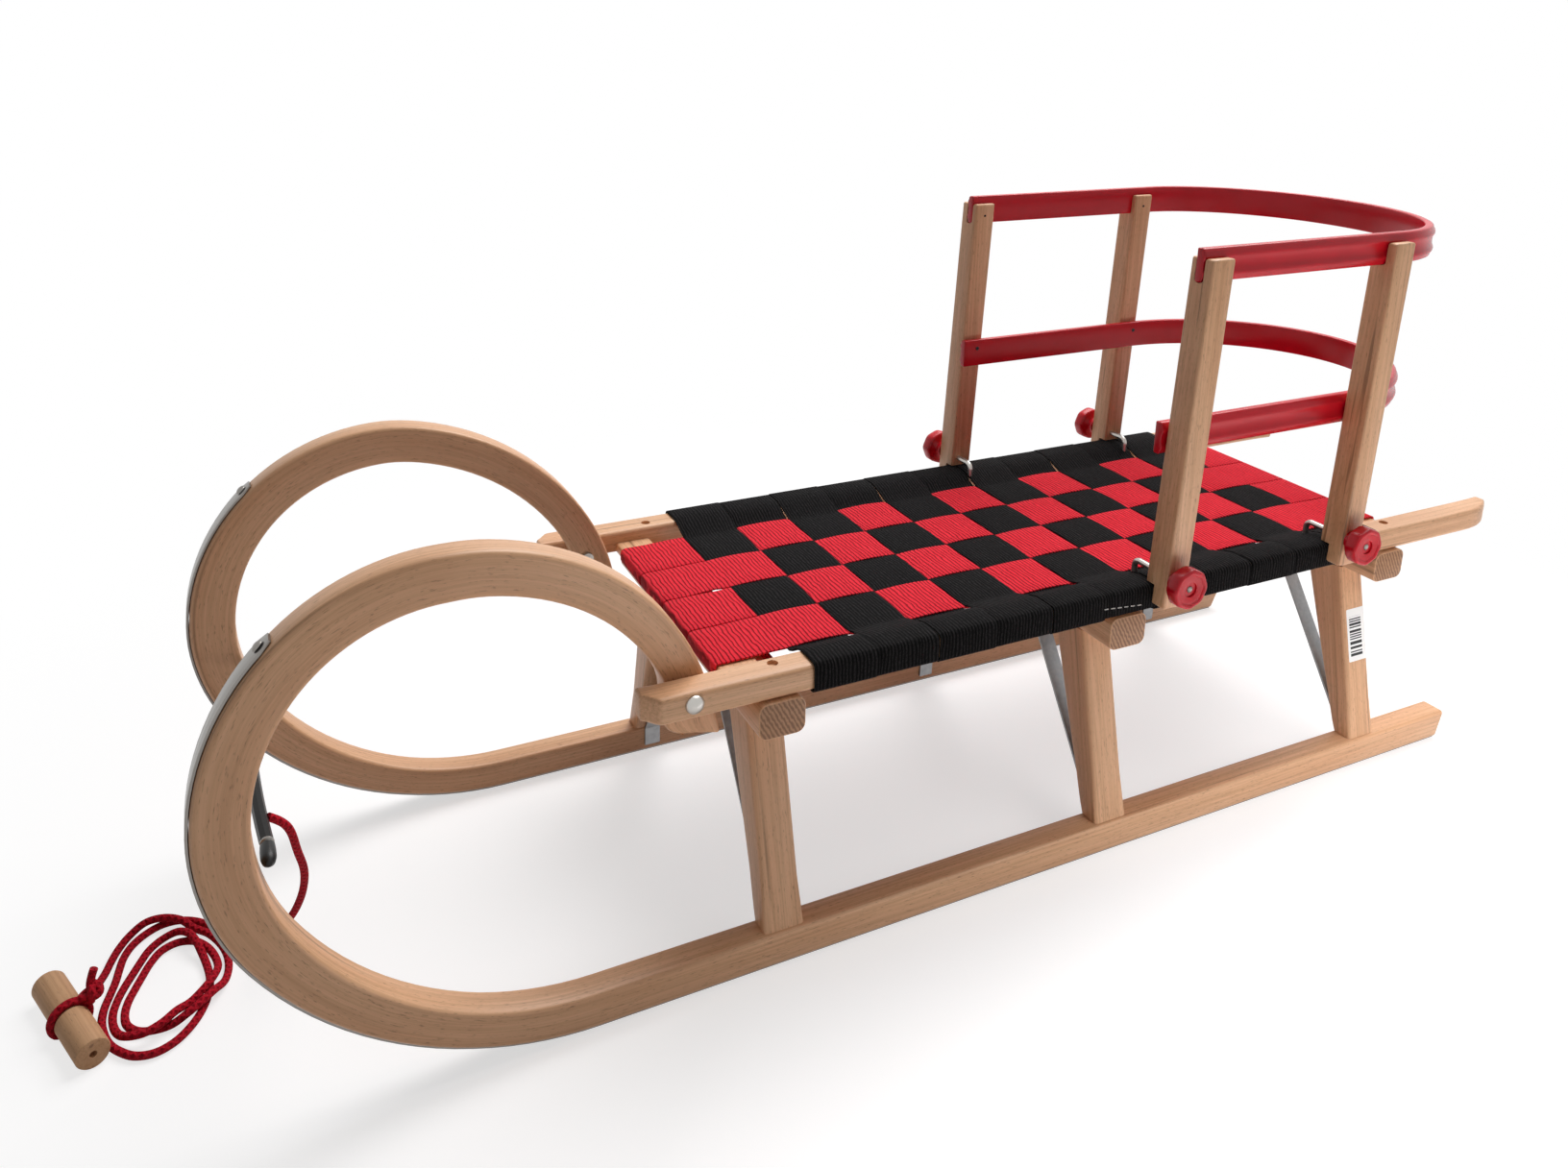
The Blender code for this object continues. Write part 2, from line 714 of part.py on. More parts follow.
def pull_bar(name, mat):
    boss_y = pull_bar_y()
    rings = []
    sides = 12
    ends = [(pull_bar_boss_end_x, 1), (pull_bar_end_x, 1), (pull_bar_end_x - 1.0, 0)]
    ends += [(pull_bar_end_x * s, 0) for s in (0.85, 0.65, 0.4, 0.2, 0.0)]
    stations = [(-x, b) for x, b in ends] + [(x, b) for x, b in reversed(ends[:-1])]
    for x, boss in stations:
        bow = pull_bar_bow * (1 - min(1.0, abs(x) / pull_bar_end_x) ** 2)
        ring = []
        for k in range(sides):
            a = 2 * math.pi * (k + 0.5) / sides
            ry = pull_bar_boss_radius if boss else pull_bar_half_depth
            rz = pull_bar_boss_radius if boss else pull_bar_half_height
            ring.append((x, boss_y - bow + ry * math.cos(a), pull_bar_z + rz * math.sin(a)))
        rings.append(ring)
    return loft(name, rings, mat, at=(0.0, boss_y, pull_bar_z), smooth=35)


def post_centre(index, z):
    return post_y[index] + post_lean * (z - post_base)


def post(side, index, name, mat):
    slot0 = post_inner_x + slot_inset
    slot1 = slot0 + band_thick + 2 * gap
    outline = [
        (post_lap_x, post_base), (post_outer_x, post_base), (post_outer_x, post_top),
        (slot1, post_top), (slot1, slot_low), (slot0, slot_low), (slot0, post_top),
        (post_inner_x, post_top), (post_inner_x, post_seat), (post_lap_x, post_seat),
    ]
    rings = []
    for s in (-1, 1):
        rings.append([(side * u, post_centre(index, v) + s * post_depth / 2, v) for u, v in outline])
    at = (side * post_outer_x, post_y[index], post_base)
    return loft(name, rings, mat, at=at, parent="backrest")


def band(name, half_x, front_y, centre_y, depth, low, mat):
    """A strip bent round the rider's back; half_x runs to the middle of its thickness."""
    line = []
    for share in (0.0, 0.5):
        line.append((half_x, front_y + (centre_y - front_y) * share, 1.0, 0.0))
    steps = 28
    for i in range(steps + 1):
        a = math.pi * i / steps
        nx, ny = math.cos(a) / half_x, math.sin(a) / depth
        size = math.hypot(nx, ny)
        line.append((half_x * math.cos(a), centre_y + depth * math.sin(a), nx / size, ny / size))
    for share in (0.5, 0.0):
        line.append((-half_x, front_y + (centre_y - front_y) * share, -1.0, 0.0))
    h = band_height
    inner = -band_thick / 2
    full = band_thick / 2
    side = inner + band_edge
    section = [
        (inner, 0.0), (side, 0.0), (full, h * 0.16), (full, h * 0.5), (full, h * 0.84),
        (side, h), (inner, h),
    ]
    rings = [[(x + nx * u, y + ny * u, low + v) for u, v in section] for x, y, nx, ny in line]
    return loft(name, rings, mat, at=(0.0, centre_y, low), parent="backrest", smooth=30)


def hook_path(side, y):
    outer = post_outer_x + gap + knob_length - knob_recess_depth + 0.5
    leg_x = rail_inner_x - hook_reach + 11.0
    tip = hook_z - hook_reach
    path = [(outer, y, hook_z), (post_inner_x, y, hook_z)]
    for deg in (0.0, 22.5, 45.0, 67.5, 90.0):
        a = math.radians(deg)
        path.append((leg_x + hook_bend - hook_bend * math.sin(a), y, hook_z - hook_bend + hook_bend * math.cos(a)))
    path.append((leg_x, y, tip))
    return [(side * p[0], p[1], p[2]) for p in path]


def knob(side, index, name, mat):
    y = post_centre(index, hook_z) + hook_offset_y
    bore = hook_radius + bolt_clearance
    start = post_outer_x + gap
    face = start + knob_length
    hub = start + knob_hub_length
    rim = knob_radius - 1.6
    profile = [
        (start, bore, False), (start, knob_hub_radius, False), (hub, knob_hub_radius, False),
        (hub + 1.5, knob_radius - 2.0, True), (hub + 3.0, knob_radius, True),
        (face - 2.6, knob_radius, True), (face, rim, True),
        (face, rim - knob_rim_width, False), (face - knob_rim_height, rim - knob_rim_width - 1.0, False),
        (face - knob_rim_height, knob_recess_radius, False),
        (face - knob_recess_depth, knob_recess_radius, False), (face - knob_recess_depth, bore, False),
    ]
    centre = (0.0, y, hook_z)
    return spun(
        name, profile, centre, 32, mat, axis=side, lobes=knob_lobes, depth=knob_lobe_depth,
        at=(side * start, y, hook_z), parent="backrest", smooth=35,
    )


def toggle_frame():
    a = math.radians(toggle_turn_deg)
    along = Vector((math.cos(a), math.sin(a), 0.0))
    across = Vector((-math.sin(a), math.cos(a), 0.0))
    centre = Vector((toggle_centre[0], toggle_centre[1], toggle_radius))
    return centre, along, across


def toggle(name, mat):
    centre, along, across = toggle_frame()
    half = toggle_half_length
    groove_half = rope_radius + gap + 0.1
    groove = toggle_radius - 2 * rope_radius - 2 * gap
    r = toggle_radius
    hole = toggle_end_hole_radius
    deep = toggle_end_hole_depth
    profile = [
        (-half, 0.0), (-half, r - 2.2), (-half + 2.2, r), (-groove_half - 1.0, r),
        (-groove_half, r - 1.0), (-groove_half, groove), (groove_half, groove),
        (groove_half, r - 1.0), (groove_half + 1.0, r), (half - 2.2, r), (half, r - 2.2),
        (half, hole), (half - deep, hole), (half - deep, 0.0),
    ]
    sides = 24
    up = Vector((0.0, 0.0, 1.0))
    rings = []
    for k in range(sides):
        a = 2 * math.pi * (k + 0.5) / sides
        out = across * math.cos(a) + up * math.sin(a)
        rings.append([centre + along * u + out * v for u, v in profile])
    points = [rings[0][0], rings[0][-1]]
    faces = []
    for ring in rings:
        points.extend(ring[1:-1])
    inner = len(profile) - 2
    for k in range(sides):
        a = 2 + k * inner
        b = 2 + (k + 1) % sides * inner
        faces.append((0, a, b))
        faces.append((1, b + inner - 1, a + inner - 1))
        for j in range(inner - 1):
            faces.append((a + j, a + j + 1, b + j + 1, b + j))
    return solid(name, points, faces, mat, at=tuple(centre), smooth=35, parent=None)


def knot_centre():
    centre, along, across = toggle_frame()
    lift = math.radians(knot_lift_deg)
    out = across * math.cos(lift) + Vector((0.0, 0.0, math.sin(lift)))
    return centre + out * (toggle_radius + gap + knot_radius), out


def knot(name, mat):
    """The rope's turn round the toggle, with its knot and short tail, as one body."""
    centre, along, across = toggle_frame()
    ring_radius = toggle_radius - rope_radius - gap
    up = Vector((0.0, 0.0, 1.0))
    path = []
    for k in range(24):
        a = 2 * math.pi * k / 24
        path.append(centre + (across * math.cos(a) + up * math.sin(a)) * ring_radius)
    rings = []
    for k, p in enumerate(path):
        out = (p - centre).normalized()
        rings.append([
            tuple(p + (out * math.cos(b) + along * math.sin(b)) * rope_radius)
            for b in (2 * math.pi * j / 8 for j in range(8))
        ])
    obj = loft(name, rings, mat, closed=True, at=tuple(centre), parent=None, smooth=50)
    ball, out = knot_centre()
    neck = loft(
        "knot_neck", tube_rings([centre + out * ring_radius, ball], rope_radius - 0.4, 8),
        mat, parent=None,
    )
    lump_rings = []
    for i in range(1, 8):
        a = math.pi * i / 8
        lump_rings.append([
            tuple(ball + Vector((math.sin(a) * math.cos(b), math.sin(a) * math.sin(b), math.cos(a))) * knot_radius)
            for b in (2 * math.pi * j / 14 for j in range(14))
        ])
    lump = loft("knot_lump", lump_rings, mat, parent=None)
    tail_way = (up * 1.0 + across * 0.25 - along * 0.1).normalized()
    tail = loft(
        "knot_tail", tube_rings([ball, ball + tail_way * knot_tail], rope_radius - 0.2, 8),
        mat, parent=None,
    )
    for piece in (neck, lump, tail):
        piece.hide_render = True
        piece.display_type = "WIRE"
        drill(obj, piece, "UNION")
    return obj


def rope_routes():
    """Points of the free stretch and of the coil, which meet face to face."""
    knots = [Vector((x, y, rope_level + 2 * rope_radius * up)) for x, y, up in coil_knots]
    start, past = knots[0], knots[1]
    lead = (past - start).normalized()

    ball, out = knot_centre()
    centre, along, across = toggle_frame()
    side = along * knot_entry[0] + across * knot_entry[1] + Vector((0.0, 0.0, knot_entry[2]))
    side.normalize()
    end = ball + side * (knot_radius + gap)
    coil = smooth_route([*knots, end], rope_radius * 2.4, start=lead, end=-side)

    bow = pull_bar_bow * (1 - (rope_bar_x / pull_bar_end_x) ** 2)
    top = Vector((rope_bar_x, pull_bar_y() - bow + pull_bar_half_depth + 2 * gap, pull_bar_z - 1.0))
    joint = start - lead * gap
    fall = [top + Vector((0.0, rope_radius * 2, 0.0))]
    fall += [Vector((top.x + dx, top.y + dy, top.z * share)) for dx, dy, share in rope_fall]
    fall += [joint - lead * rope_radius * 5, joint]
    free = smooth_route(fall, rope_radius * 4, start=(-0.2, 1.0, -0.5), end=lead)
    return [top, *free], coil


def least_gap(path):
    """Smallest clear distance of a tube to itself, from the points of its centre line."""
    fine = []
    for a, b in zip(path, path[1:]):
        fine.extend(a.lerp(b, s / 4) for s in range(4))
    fine.append(path[-1])
    run = [0.0]
    for a, b in zip(fine, fine[1:]):
        run.append(run[-1] + (b - a).length)
    least = 1e9
    for i in range(len(fine)):
        for j in range(i + 1, len(fine)):
            if run[j] - run[i] > rope_radius * 8:
                least = min(least, (fine[i] - fine[j]).length - 2 * rope_radius)
    return least


for old in list(bpy.data.objects):
    bpy.data.objects.remove(old, do_unlink=True)

CUT_MATERIAL = material("guide", (0.5, 0.5, 0.5), 0.5)
parent_empty("sled", (0.0, 0.0, 0.0))
parent_empty("backrest", (0.0, post_y[0], post_seat))

front_bar_y0 = beam_y[0] - beam_width / 2 - seat_bar_overhang
front_bar_y1 = front_bar_y0 + seat_bar_width
rear_bar_y1 = beam_y[-1] + beam_width / 2 + seat_bar_overhang
rear_bar_y0 = rear_bar_y1 - seat_bar_width

SIDES = ((1, "left"), (-1, "right"))
ROWS = ("front", "middle", "rear")

for side, word in SIDES:
    shoe(side, f"shoe_{word}", material(f"shoe_{word}", STEEL, 0.3, 1.0))
    horn = runner(side, f"runner_{word}", material(f"runner_{word}", WOOD, 0.5))
    beam_rail = rail(side, f"rail_{word}", material(f"rail_{word}", WOOD, 0.5))
    shank = horn_bolt_radius + bolt_clearance
    hole = cutter(
        f"cut_horn_bolt_{word}", (side * (rail_inner_x - runner_width - 20), horn_bolt_y, horn_bolt_z),
        (side * (rail_outer_x + 10), horn_bolt_y, horn_bolt_z), shank, 16,
    )
    drill(horn, hole)
    drill(beam_rail, hole)
    for row, y in (("front", beam_y[0]), ("rear", beam_y[-1] + 9.0)):
        hole = cutter(
            f"cut_rail_{row}_{word}", (side * rail_hole_x, y, rail_bottom - 5),
            (side * rail_hole_x, y, rail_top + 5), rail_hole_radius, 16,
        )
        drill(beam_rail, hole)
    horn_bolt(side, f"horn_bolt_{word}", material(f"horn_bolt_{word}", STEEL, 0.25, 1.0))

for row, y, shift in zip(ROWS, beam_y, leg_shift):
    boxed(
        f"crossbeam_{row}", -beam_half_length, beam_half_length, y - beam_width / 2,
        y + beam_width / 2, beam_bottom, beam_top, material(f"crossbeam_{row}", WOOD, 0.5), beam_edge,
    )
    for side, word in SIDES:
        leg(side, y + shift, f"leg_{row}_{word}", material(f"leg_{row}_{word}", WOOD, 0.5))
        stay(side, y + shift, f"stay_{row}_{word}", material(f"stay_{row}_{word}", STEEL, 0.35, 1.0))

bar_x = rail_inner_x - gap
for row, y0, y1 in (("front", front_bar_y0, front_bar_y1), ("rear", rear_bar_y0, rear_bar_y1)):
    boxed(
        f"seat_bar_{row}", -bar_x, bar_x, y0, y1, bar_bottom, bar_top,
        material(f"seat_bar_{row}", WOOD, 0.5), 1.5,
    )

for i in range(black_straps):
    black_strap(i, f"strap_black_{i + 1:02d}", material(f"strap_black_{i + 1:02d}", BLACK, 0.9))
for i in range(red_straps):
    red_strap(i, f"strap_red_{i + 1}", material(f"strap_red_{i + 1}", RED, 0.9))

pull_bar("pull_bar", material("pull_bar", DARK_STEEL, 0.35, 1.0))

for index, row in enumerate(("front", "rear")):
    for side, word in SIDES:
        upright = post(side, index, f"post_{row}_{word}", material(f"post_{row}_{word}", WOOD, 0.5))
        y = post_centre(index, hook_z) + hook_offset_y
        hole = cutter(
            f"cut_post_{row}_{word}", (side * (post_inner_x - 10), y, hook_z),
            (side * (post_outer_x + 10), y, hook_z), hook_radius + bolt_clearance, 16,
        )
        drill(upright, hole)
        loft(
            f"hook_{row}_{word}", tube_rings(hook_path(side, y), hook_radius, 10),
            material(f"hook_{row}_{word}", STEEL, 0.25, 1.0), at=(side * post_outer_x, y, hook_z),
            parent="backrest", smooth=50,
        )
        knob(side, index, f"knob_{row}_{word}", material(f"knob_{row}_{word}", RED, 0.25))

band(
    "band_upper", post_inner_x + slot_inset + gap + band_thick / 2,
    post_centre(0, post_top) - post_depth / 2 - upper_band_front,
    post_centre(1, post_top) + post_depth / 2 + upper_band_behind_post,
    upper_band_depth, slot_low + gap, material("band_upper", RED, 0.25),
)
lower_band_low = lower_band_top - band_height
band(
    "band_lower", post_inner_x - gap - band_thick / 2,
    post_centre(0, lower_band_low) - post_depth / 2 - lower_band_front, lower_band_centre_y,
    lower_band_depth, lower_band_low, material("band_lower", RED, 0.25),
)

free_rope, coiled_rope = rope_routes()
rope_curve("rope_free", free_rope, material("rope_free", RED, 0.8), 2)
rope_curve("rope_coil", coiled_rope, material("rope_coil", RED, 0.8), 1)
toggle("toggle", material("toggle", WOOD, 0.5))
knot("rope_knot", material("rope_knot", RED, 0.8))
print("rope coil: least gap to itself", round(least_gap(coiled_rope), 2), "mm,", len(coiled_rope), "points")
print("free rope:", len(free_rope), "points")
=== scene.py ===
import math
import random

import bmesh
import bpy
from mathutils import Matrix, Vector


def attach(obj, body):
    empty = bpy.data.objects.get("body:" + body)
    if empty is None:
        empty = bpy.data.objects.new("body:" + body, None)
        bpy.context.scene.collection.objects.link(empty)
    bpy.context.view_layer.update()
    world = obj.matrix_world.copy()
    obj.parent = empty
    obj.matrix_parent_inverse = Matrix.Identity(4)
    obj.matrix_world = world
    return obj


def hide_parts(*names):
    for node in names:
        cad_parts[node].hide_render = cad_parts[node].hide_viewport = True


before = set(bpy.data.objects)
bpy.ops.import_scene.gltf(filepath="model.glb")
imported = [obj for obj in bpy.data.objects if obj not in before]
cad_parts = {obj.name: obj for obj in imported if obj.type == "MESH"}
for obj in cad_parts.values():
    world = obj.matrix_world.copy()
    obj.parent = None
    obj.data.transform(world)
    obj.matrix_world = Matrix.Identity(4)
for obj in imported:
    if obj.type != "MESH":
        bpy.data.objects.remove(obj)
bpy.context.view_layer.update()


# The camera stands to the left of the horns at about the height of the backrest, and
# looks along the sled towards its rear with a slightly wide lens that is shifted down.
azimuth, elevation, roll = (math.radians(a) for a in (64.16, 15.47, 0.91))
turn = (Matrix.Rotation(azimuth, 3, "Z") @ Matrix.Rotation(math.pi / 2 - elevation, 3, "X")
        @ Matrix.Rotation(roll, 3, "Z"))
lens = bpy.data.cameras.new("camera")
lens.sensor_fit = "HORIZONTAL"
lens.sensor_width = 36.0
lens.lens = 27.395
lens.shift_x = -0.00092
lens.shift_y = -0.1431
camera = bpy.data.objects.new("camera", lens)
camera.matrix_world = Matrix.LocRotScale(Vector((0.8976, -0.5698, 0.7338)), turn, None)
bpy.context.scene.collection.objects.link(camera)
bpy.context.scene.camera = camera


# The sled stands on a white studio floor that runs on to a white background. A wide soft
# light hangs over it, two small ones light its left side from low down, and the white
# room lights it weakly from all round.
bpy.context.scene.view_settings.view_transform = "Standard"


def linear(code):
    """An sRGB hex colour as the linear colour that a shader takes."""
    parts = [int(code[i : i + 2], 16) / 255 for i in (1, 3, 5)]
    return (*(c / 12.92 if c <= 0.04045 else ((c + 0.055) / 1.055) ** 2.4 for c in parts), 1.0)


def feed(node, sockets):
    """Give each socket of a node its value or its link."""
    for key, value in sockets.items():
        if isinstance(value, bpy.types.NodeSocket):
            node.id_data.links.new(value, node.inputs[key])
        else:
            node.inputs[key].default_value = value
    return node


def add(tree, kind, sockets=None, **settings):
    """Add a node: settings are its own, and each socket gets a value or a link."""
    made = tree.nodes.new(kind)
    for key, value in settings.items():
        setattr(made, key, value)
    return feed(made, sockets or {})


def calculated(operation, *values):
    """The result of one math node on a socket and what follows it."""
    return add(values[0].id_data, "ShaderNodeMath", dict(enumerate(values)),
               operation=operation).outputs[0]


def ranged(value, low, high, bottom=0.0, top=1.0, **settings):
    """A value whose range from low to high becomes one from bottom to top."""
    sockets = {"Value": value, "From Min": low, "From Max": high, "To Min": bottom, "To Max": top}
    return add(value.id_data, "ShaderNodeMapRange", sockets, **settings).outputs[0]


def for_light_or_eye(light, eye):
    """One shader for the light that a surface gives, another where it is seen directly."""
    tree = light.id_data
    path = add(tree, "ShaderNodeLightPath").outputs
    seen = calculated("MAXIMUM", path["Is Camera Ray"], path["Is Glossy Ray"])
    seen = calculated("MAXIMUM", seen, path["Is Transmission Ray"])
    return add(tree, "ShaderNodeMixShader", {0: seen, 1: light.outputs[0],
                                             2: eye.outputs[0]}).outputs[0]


room = bpy.data.worlds.new("white room")
room.use_nodes = True
tree = room.node_tree
tree.nodes.clear()
white = linear("#FFFFFF")
lit = add(tree, "ShaderNodeBackground", {"Color": white, "Strength": 0.13})
shown = add(tree, "ShaderNodeBackground", {"Color": white, "Strength": 1.0})
add(tree, "ShaderNodeOutputWorld", {"Surface": for_light_or_eye(lit, shown)})
bpy.context.scene.world = room

# Square soft lights, each behind a honeycomb: place, aim, width, watts and spread.
for name, spot, aim, width, power, spread in (
    ("overhead", (-0.8, 1.0, 2.4), (0.0, 0.1, 0.2), 2.0, 82.0, 180.0),
    ("side", (0.86, 0.5, 0.5), (0.84, 0.5, 0.0), 0.7, 8.5, 120.0),
    ("front side", (1.05, -0.1, 0.45), (1.03, -0.1, 0.0), 0.6, 3.0, 130.0),
):
    lamp = bpy.data.lights.new(name, "AREA")
    lamp.shape = "SQUARE"
    lamp.size = width
    lamp.energy = power
    lamp.spread = math.radians(spread)
    obj = bpy.data.objects.new(name, lamp)
    toward = Vector(aim) - Vector(spot)
    obj.matrix_world = Matrix.LocRotScale(Vector(spot), toward.to_track_quat("-Z", "Y"), None)
    bpy.context.scene.collection.objects.link(obj)

# The paper glows by itself where it is seen, so that only the sled's shadow darkens it, and
# turns pure white further out. The light that it sends back comes from a plain matt white.
paper = bpy.data.materials.new("white seamless paper")
paper.use_nodes = True
tree = paper.node_tree
tree.nodes.clear()
reflector = add(tree, "ShaderNodeBsdfDiffuse", {"Color": linear("#E0DDDC")})
matt = add(tree, "ShaderNodeBsdfDiffuse", {"Color": linear("#BDBBBB")})
glow = add(tree, "ShaderNodeEmission", {"Color": white, "Strength": 0.58})
far_glow = add(tree, "ShaderNodeEmission", {"Color": white, "Strength": 1.0})
lifted = add(tree, "ShaderNodeAddShader", {0: matt.outputs[0], 1: glow.outputs[0]})
spot = add(tree, "ShaderNodeTexCoord").outputs["Object"]
away = add(tree, "ShaderNodeVectorMath", {0: spot}, operation="LENGTH").outputs["Value"]
fade = ranged(away, 0.4, 1.15, interpolation_type="SMOOTHSTEP")
seen = add(tree, "ShaderNodeMixShader", {0: fade, 1: lifted.outputs[0], 2: far_glow.outputs[0]})
add(tree, "ShaderNodeOutputMaterial", {"Surface": for_light_or_eye(reflector, seen)})


def shown_mesh(name, bm, material):
    """Put a drawn mesh into the scene as an object of one material."""
    mesh = bpy.data.meshes.new(name)
    bm.to_mesh(mesh)
    bm.free()
    mesh.materials.append(material)
    obj = bpy.data.objects.new(name, mesh)
    bpy.context.scene.collection.objects.link(obj)
    return obj


bm = bmesh.new()
bmesh.ops.create_grid(bm, x_segments=1, y_segments=1, size=9.0)
shown_mesh("floor", bm, paper)


# The rope is a braided red cord 6 mm thick. It runs out of the pull bar, drops behind
# the horn to the ground and lies in loose loops whose end is knotted to the toggle.
def principled(name, rough=0.5, specular=0.5, **sockets):
    """A material with one Principled shader, and its tree and shader."""
    material = bpy.data.materials.new(name)
    material.use_nodes = True
    tree = material.node_tree
    values = {key.replace("_", " "): value for key, value in sockets.items()}
    values |= {"Roughness": rough, "Specular IOR Level": specular}
    return material, tree, feed(tree.nodes["Principled BSDF"], values)


def place(tree, noted=None):
    """Each point's place on its object, or what the mesh notes there under a name."""
    if noted:
        return add(tree, "ShaderNodeAttribute", attribute_name=noted).outputs["Vector"]
    return add(tree, "ShaderNodeTexCoord").outputs["Object"]


def noise(where, scale, detail, **sockets):
    """Noise at one scale, or stretched by a scale of its own on each axis."""
    tree = where.id_data
    if isinstance(scale, tuple):
        where = add(tree, "ShaderNodeMapping", {"Vector": where, "Scale": scale}).outputs[0]
        scale = 1.0
    return add(tree, "ShaderNodeTexNoise", {"Vector": where, "Scale": scale, "Detail": detail,
                                            **sockets}).outputs["Fac"]


def blend(share, low, high):
    """A colour between two, each of them a hex code or a socket."""
    low, high = (linear(c) if isinstance(c, str) else c for c in (low, high))
    return add(share.id_data, "ShaderNodeMix", {0: share, 6: low, 7: high},
               data_type="RGBA").outputs[2]


def skinned(shader, colour, height, strength, distance):
    """Give the shader its colour and a relief of some height."""
    bump = add(shader.id_data, "ShaderNodeBump", {"Strength": strength, "Distance": distance,
                                                  "Height": height})
    feed(shader, {"Base Color": colour, "Normal": bump.outputs[0]})


# A braid of matt polypropylene strands: small raised stitches in crossing rows, with painted
# shade in the valleys. The real stitches are about 4 mm long, drawn here at 6 mm so that they
# show.
braid, tree, shader = principled("braided polypropylene rope", rough=0.75, specular=0.12)
lay = place(tree, "lay")
parts = add(tree, "ShaderNodeSeparateXYZ", {0: lay})
angle = calculated("ARCTAN2", parts.outputs[1], parts.outputs[2])
rows = []
for hand in (1.0, -1.0):
    crossed = add(tree, "ShaderNodeCombineXYZ", {
        0: calculated("MULTIPLY", angle, 0.3),
        1: calculated("MULTIPLY", parts.outputs[0], hand * 105.0),
    })
    wave = add(tree, "ShaderNodeTexWave", {"Vector": crossed.outputs[0], "Scale": 1.0},
               bands_direction="DIAGONAL")
    rows.append(wave.outputs["Fac"])
stitch = calculated("MAXIMUM", *rows)
# The stitch colour darkens towards the valleys between stitches: painted shade.
shaded_stitches = blend(stitch, "#6E0612", "#C8182C")
skinned(shader, blend(noise(lay, 700.0, 3.0), shaded_stitches, "#A91024"), stitch, 0.9, 0.0012)


def line_runs(line):
    """How far along a line each of its points lies."""
    runs = [0.0]
    for a, b in zip(line, line[1:]):
        runs.append(runs[-1] + (b - a).length)
    return runs


def smooth_line(knots, spacing, start=None, end=None):
    """Even points along a smooth curve through the knots, with given end directions."""
    knots = [Vector(k) for k in knots]
    ways = [(c - a) / ((b - a).length + (c - b).length)
            for a, b, c in zip(knots, knots[1:], knots[2:])]
    first = Vector(start) if start else knots[1] - knots[0]
    last = Vector(end) if end else knots[-1] - knots[-2]
    ways = [first.normalized(), *ways, last.normalized()]
    fine = []
    for p, q, v, w in zip(knots, knots[1:], ways, ways[1:]):
        step = (q - p).length
        for i in range(24):
            t = i / 24
            fine.append(p * (2 * t**3 - 3 * t**2 + 1) + v * step * (t**3 - 2 * t**2 + t)
                        + q * (3 * t**2 - 2 * t**3) + w * step * (t**3 - t**2))
    fine.append(knots[-1])
    run = line_runs(fine)
    count = max(2, round(run[-1] / spacing))
    line, j = [], 0
    for i in range(count + 1):
        want = run[-1] * i / count
        while j < len(run) - 2 and run[j + 1] < want:
            j += 1
        share = min(1.0, (want - run[j]) / max(1e-9, run[j + 1] - run[j]))
        line.append(fine[j].lerp(fine[j + 1], share))
    return line


def places_along(line):
    """A place at each point of a line, square to it and turned as little as can be."""
    places, guide = [], None
    for i, point in enumerate(line):
        way = (line[min(i + 1, len(line) - 1)] - line[max(i - 1, 0)]).normalized()
        guide = way.orthogonal() if guide is None else guide
        guide = (guide - way * guide.dot(way)).normalized()
        turn = Matrix((guide, way.cross(guide), way)).transposed()
        places.append(Matrix.LocRotScale(point, turn, None))
    return places


def swept(bm, edges, places, layer=None, runs=None):
    """Draw joined edges through a row of places, and note each point's way along them."""
    verts = list({v for e in edges for v in e.verts})
    last = Matrix.Identity(4)
    first = edges
    for i, place in enumerate(places):
        if i:
            grown = bmesh.ops.extrude_edge_only(bm, edges=edges)["geom"]
            verts = [g for g in grown if isinstance(g, bmesh.types.BMVert)]
            edges = [g for g in grown if isinstance(g, bmesh.types.BMEdge) and g.is_boundary
                     and all(v in set(verts) for v in g.verts)]
        bmesh.ops.transform(bm, matrix=place @ last.inverted(), verts=verts)
        last = place
        if layer:
            undo = place.inverted()
            for v in verts:
                local = undo @ v.co
                v[layer] = Vector((runs[i], local.x, local.y)) * 0.001
    return first, edges


def closed_over(bm, edges):
    """Close the open end of a skin with one face."""
    return bmesh.ops.contextual_create(bm, geom=edges)["faces"][0]


def closed_bar(bm, edges, places, *noting):
    """Draw joined edges through a row of places, and close both ends with faces."""
    return [closed_over(bm, end) for end in swept(bm, edges, places, *noting)]


def noted(bm, name):
    """The layer that notes each point's way along its piece and off the middle."""
    layers = bm.verts.layers.float_vector
    return layers.get(name) or layers.new(name)


def circle(bm, sides, radius, at=(0, 0, 0)):
    """The edges of a level circle."""
    ring = bmesh.ops.create_circle(bm, segments=sides, radius=radius,
                                   matrix=Matrix.Translation(at))["verts"]
    return list({e for v in ring for e in v.link_edges})


def rod(bm, line, radius, sides):
    """A round rod along a line of points, with the way along and round it noted."""
    layer = noted(bm, "lay")
    edges = circle(bm, sides, radius)
    return closed_bar(bm, edges, places_along(line), layer, line_runs(line))


def finished(name, bm, material, slot, *nodes, body="sled", smooth=35.0):
    """Weld a mesh drawn in millimetres, turn its faces out and put it on its body."""
    bmesh.ops.remove_doubles(bm, verts=bm.verts, dist=0.002)
    bmesh.ops.recalc_face_normals(bm, faces=bm.faces)
    bmesh.ops.scale(bm, vec=(0.001, 0.001, 0.001), verts=bm.verts)
    obj = shown_mesh(name, bm, material)
    obj.data.shade_smooth()
    obj.data.set_sharp_from_angle(angle=math.radians(smooth))
    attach(obj, body)
    if nodes:
        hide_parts(*nodes)
    return obj


rope_radius = 3.0
rope_thick = 2 * rope_radius
rope_level = rope_radius + 0.4
rope_spacing = 2.5
rope_exit = Vector((94.0, -578.2, 196.0))
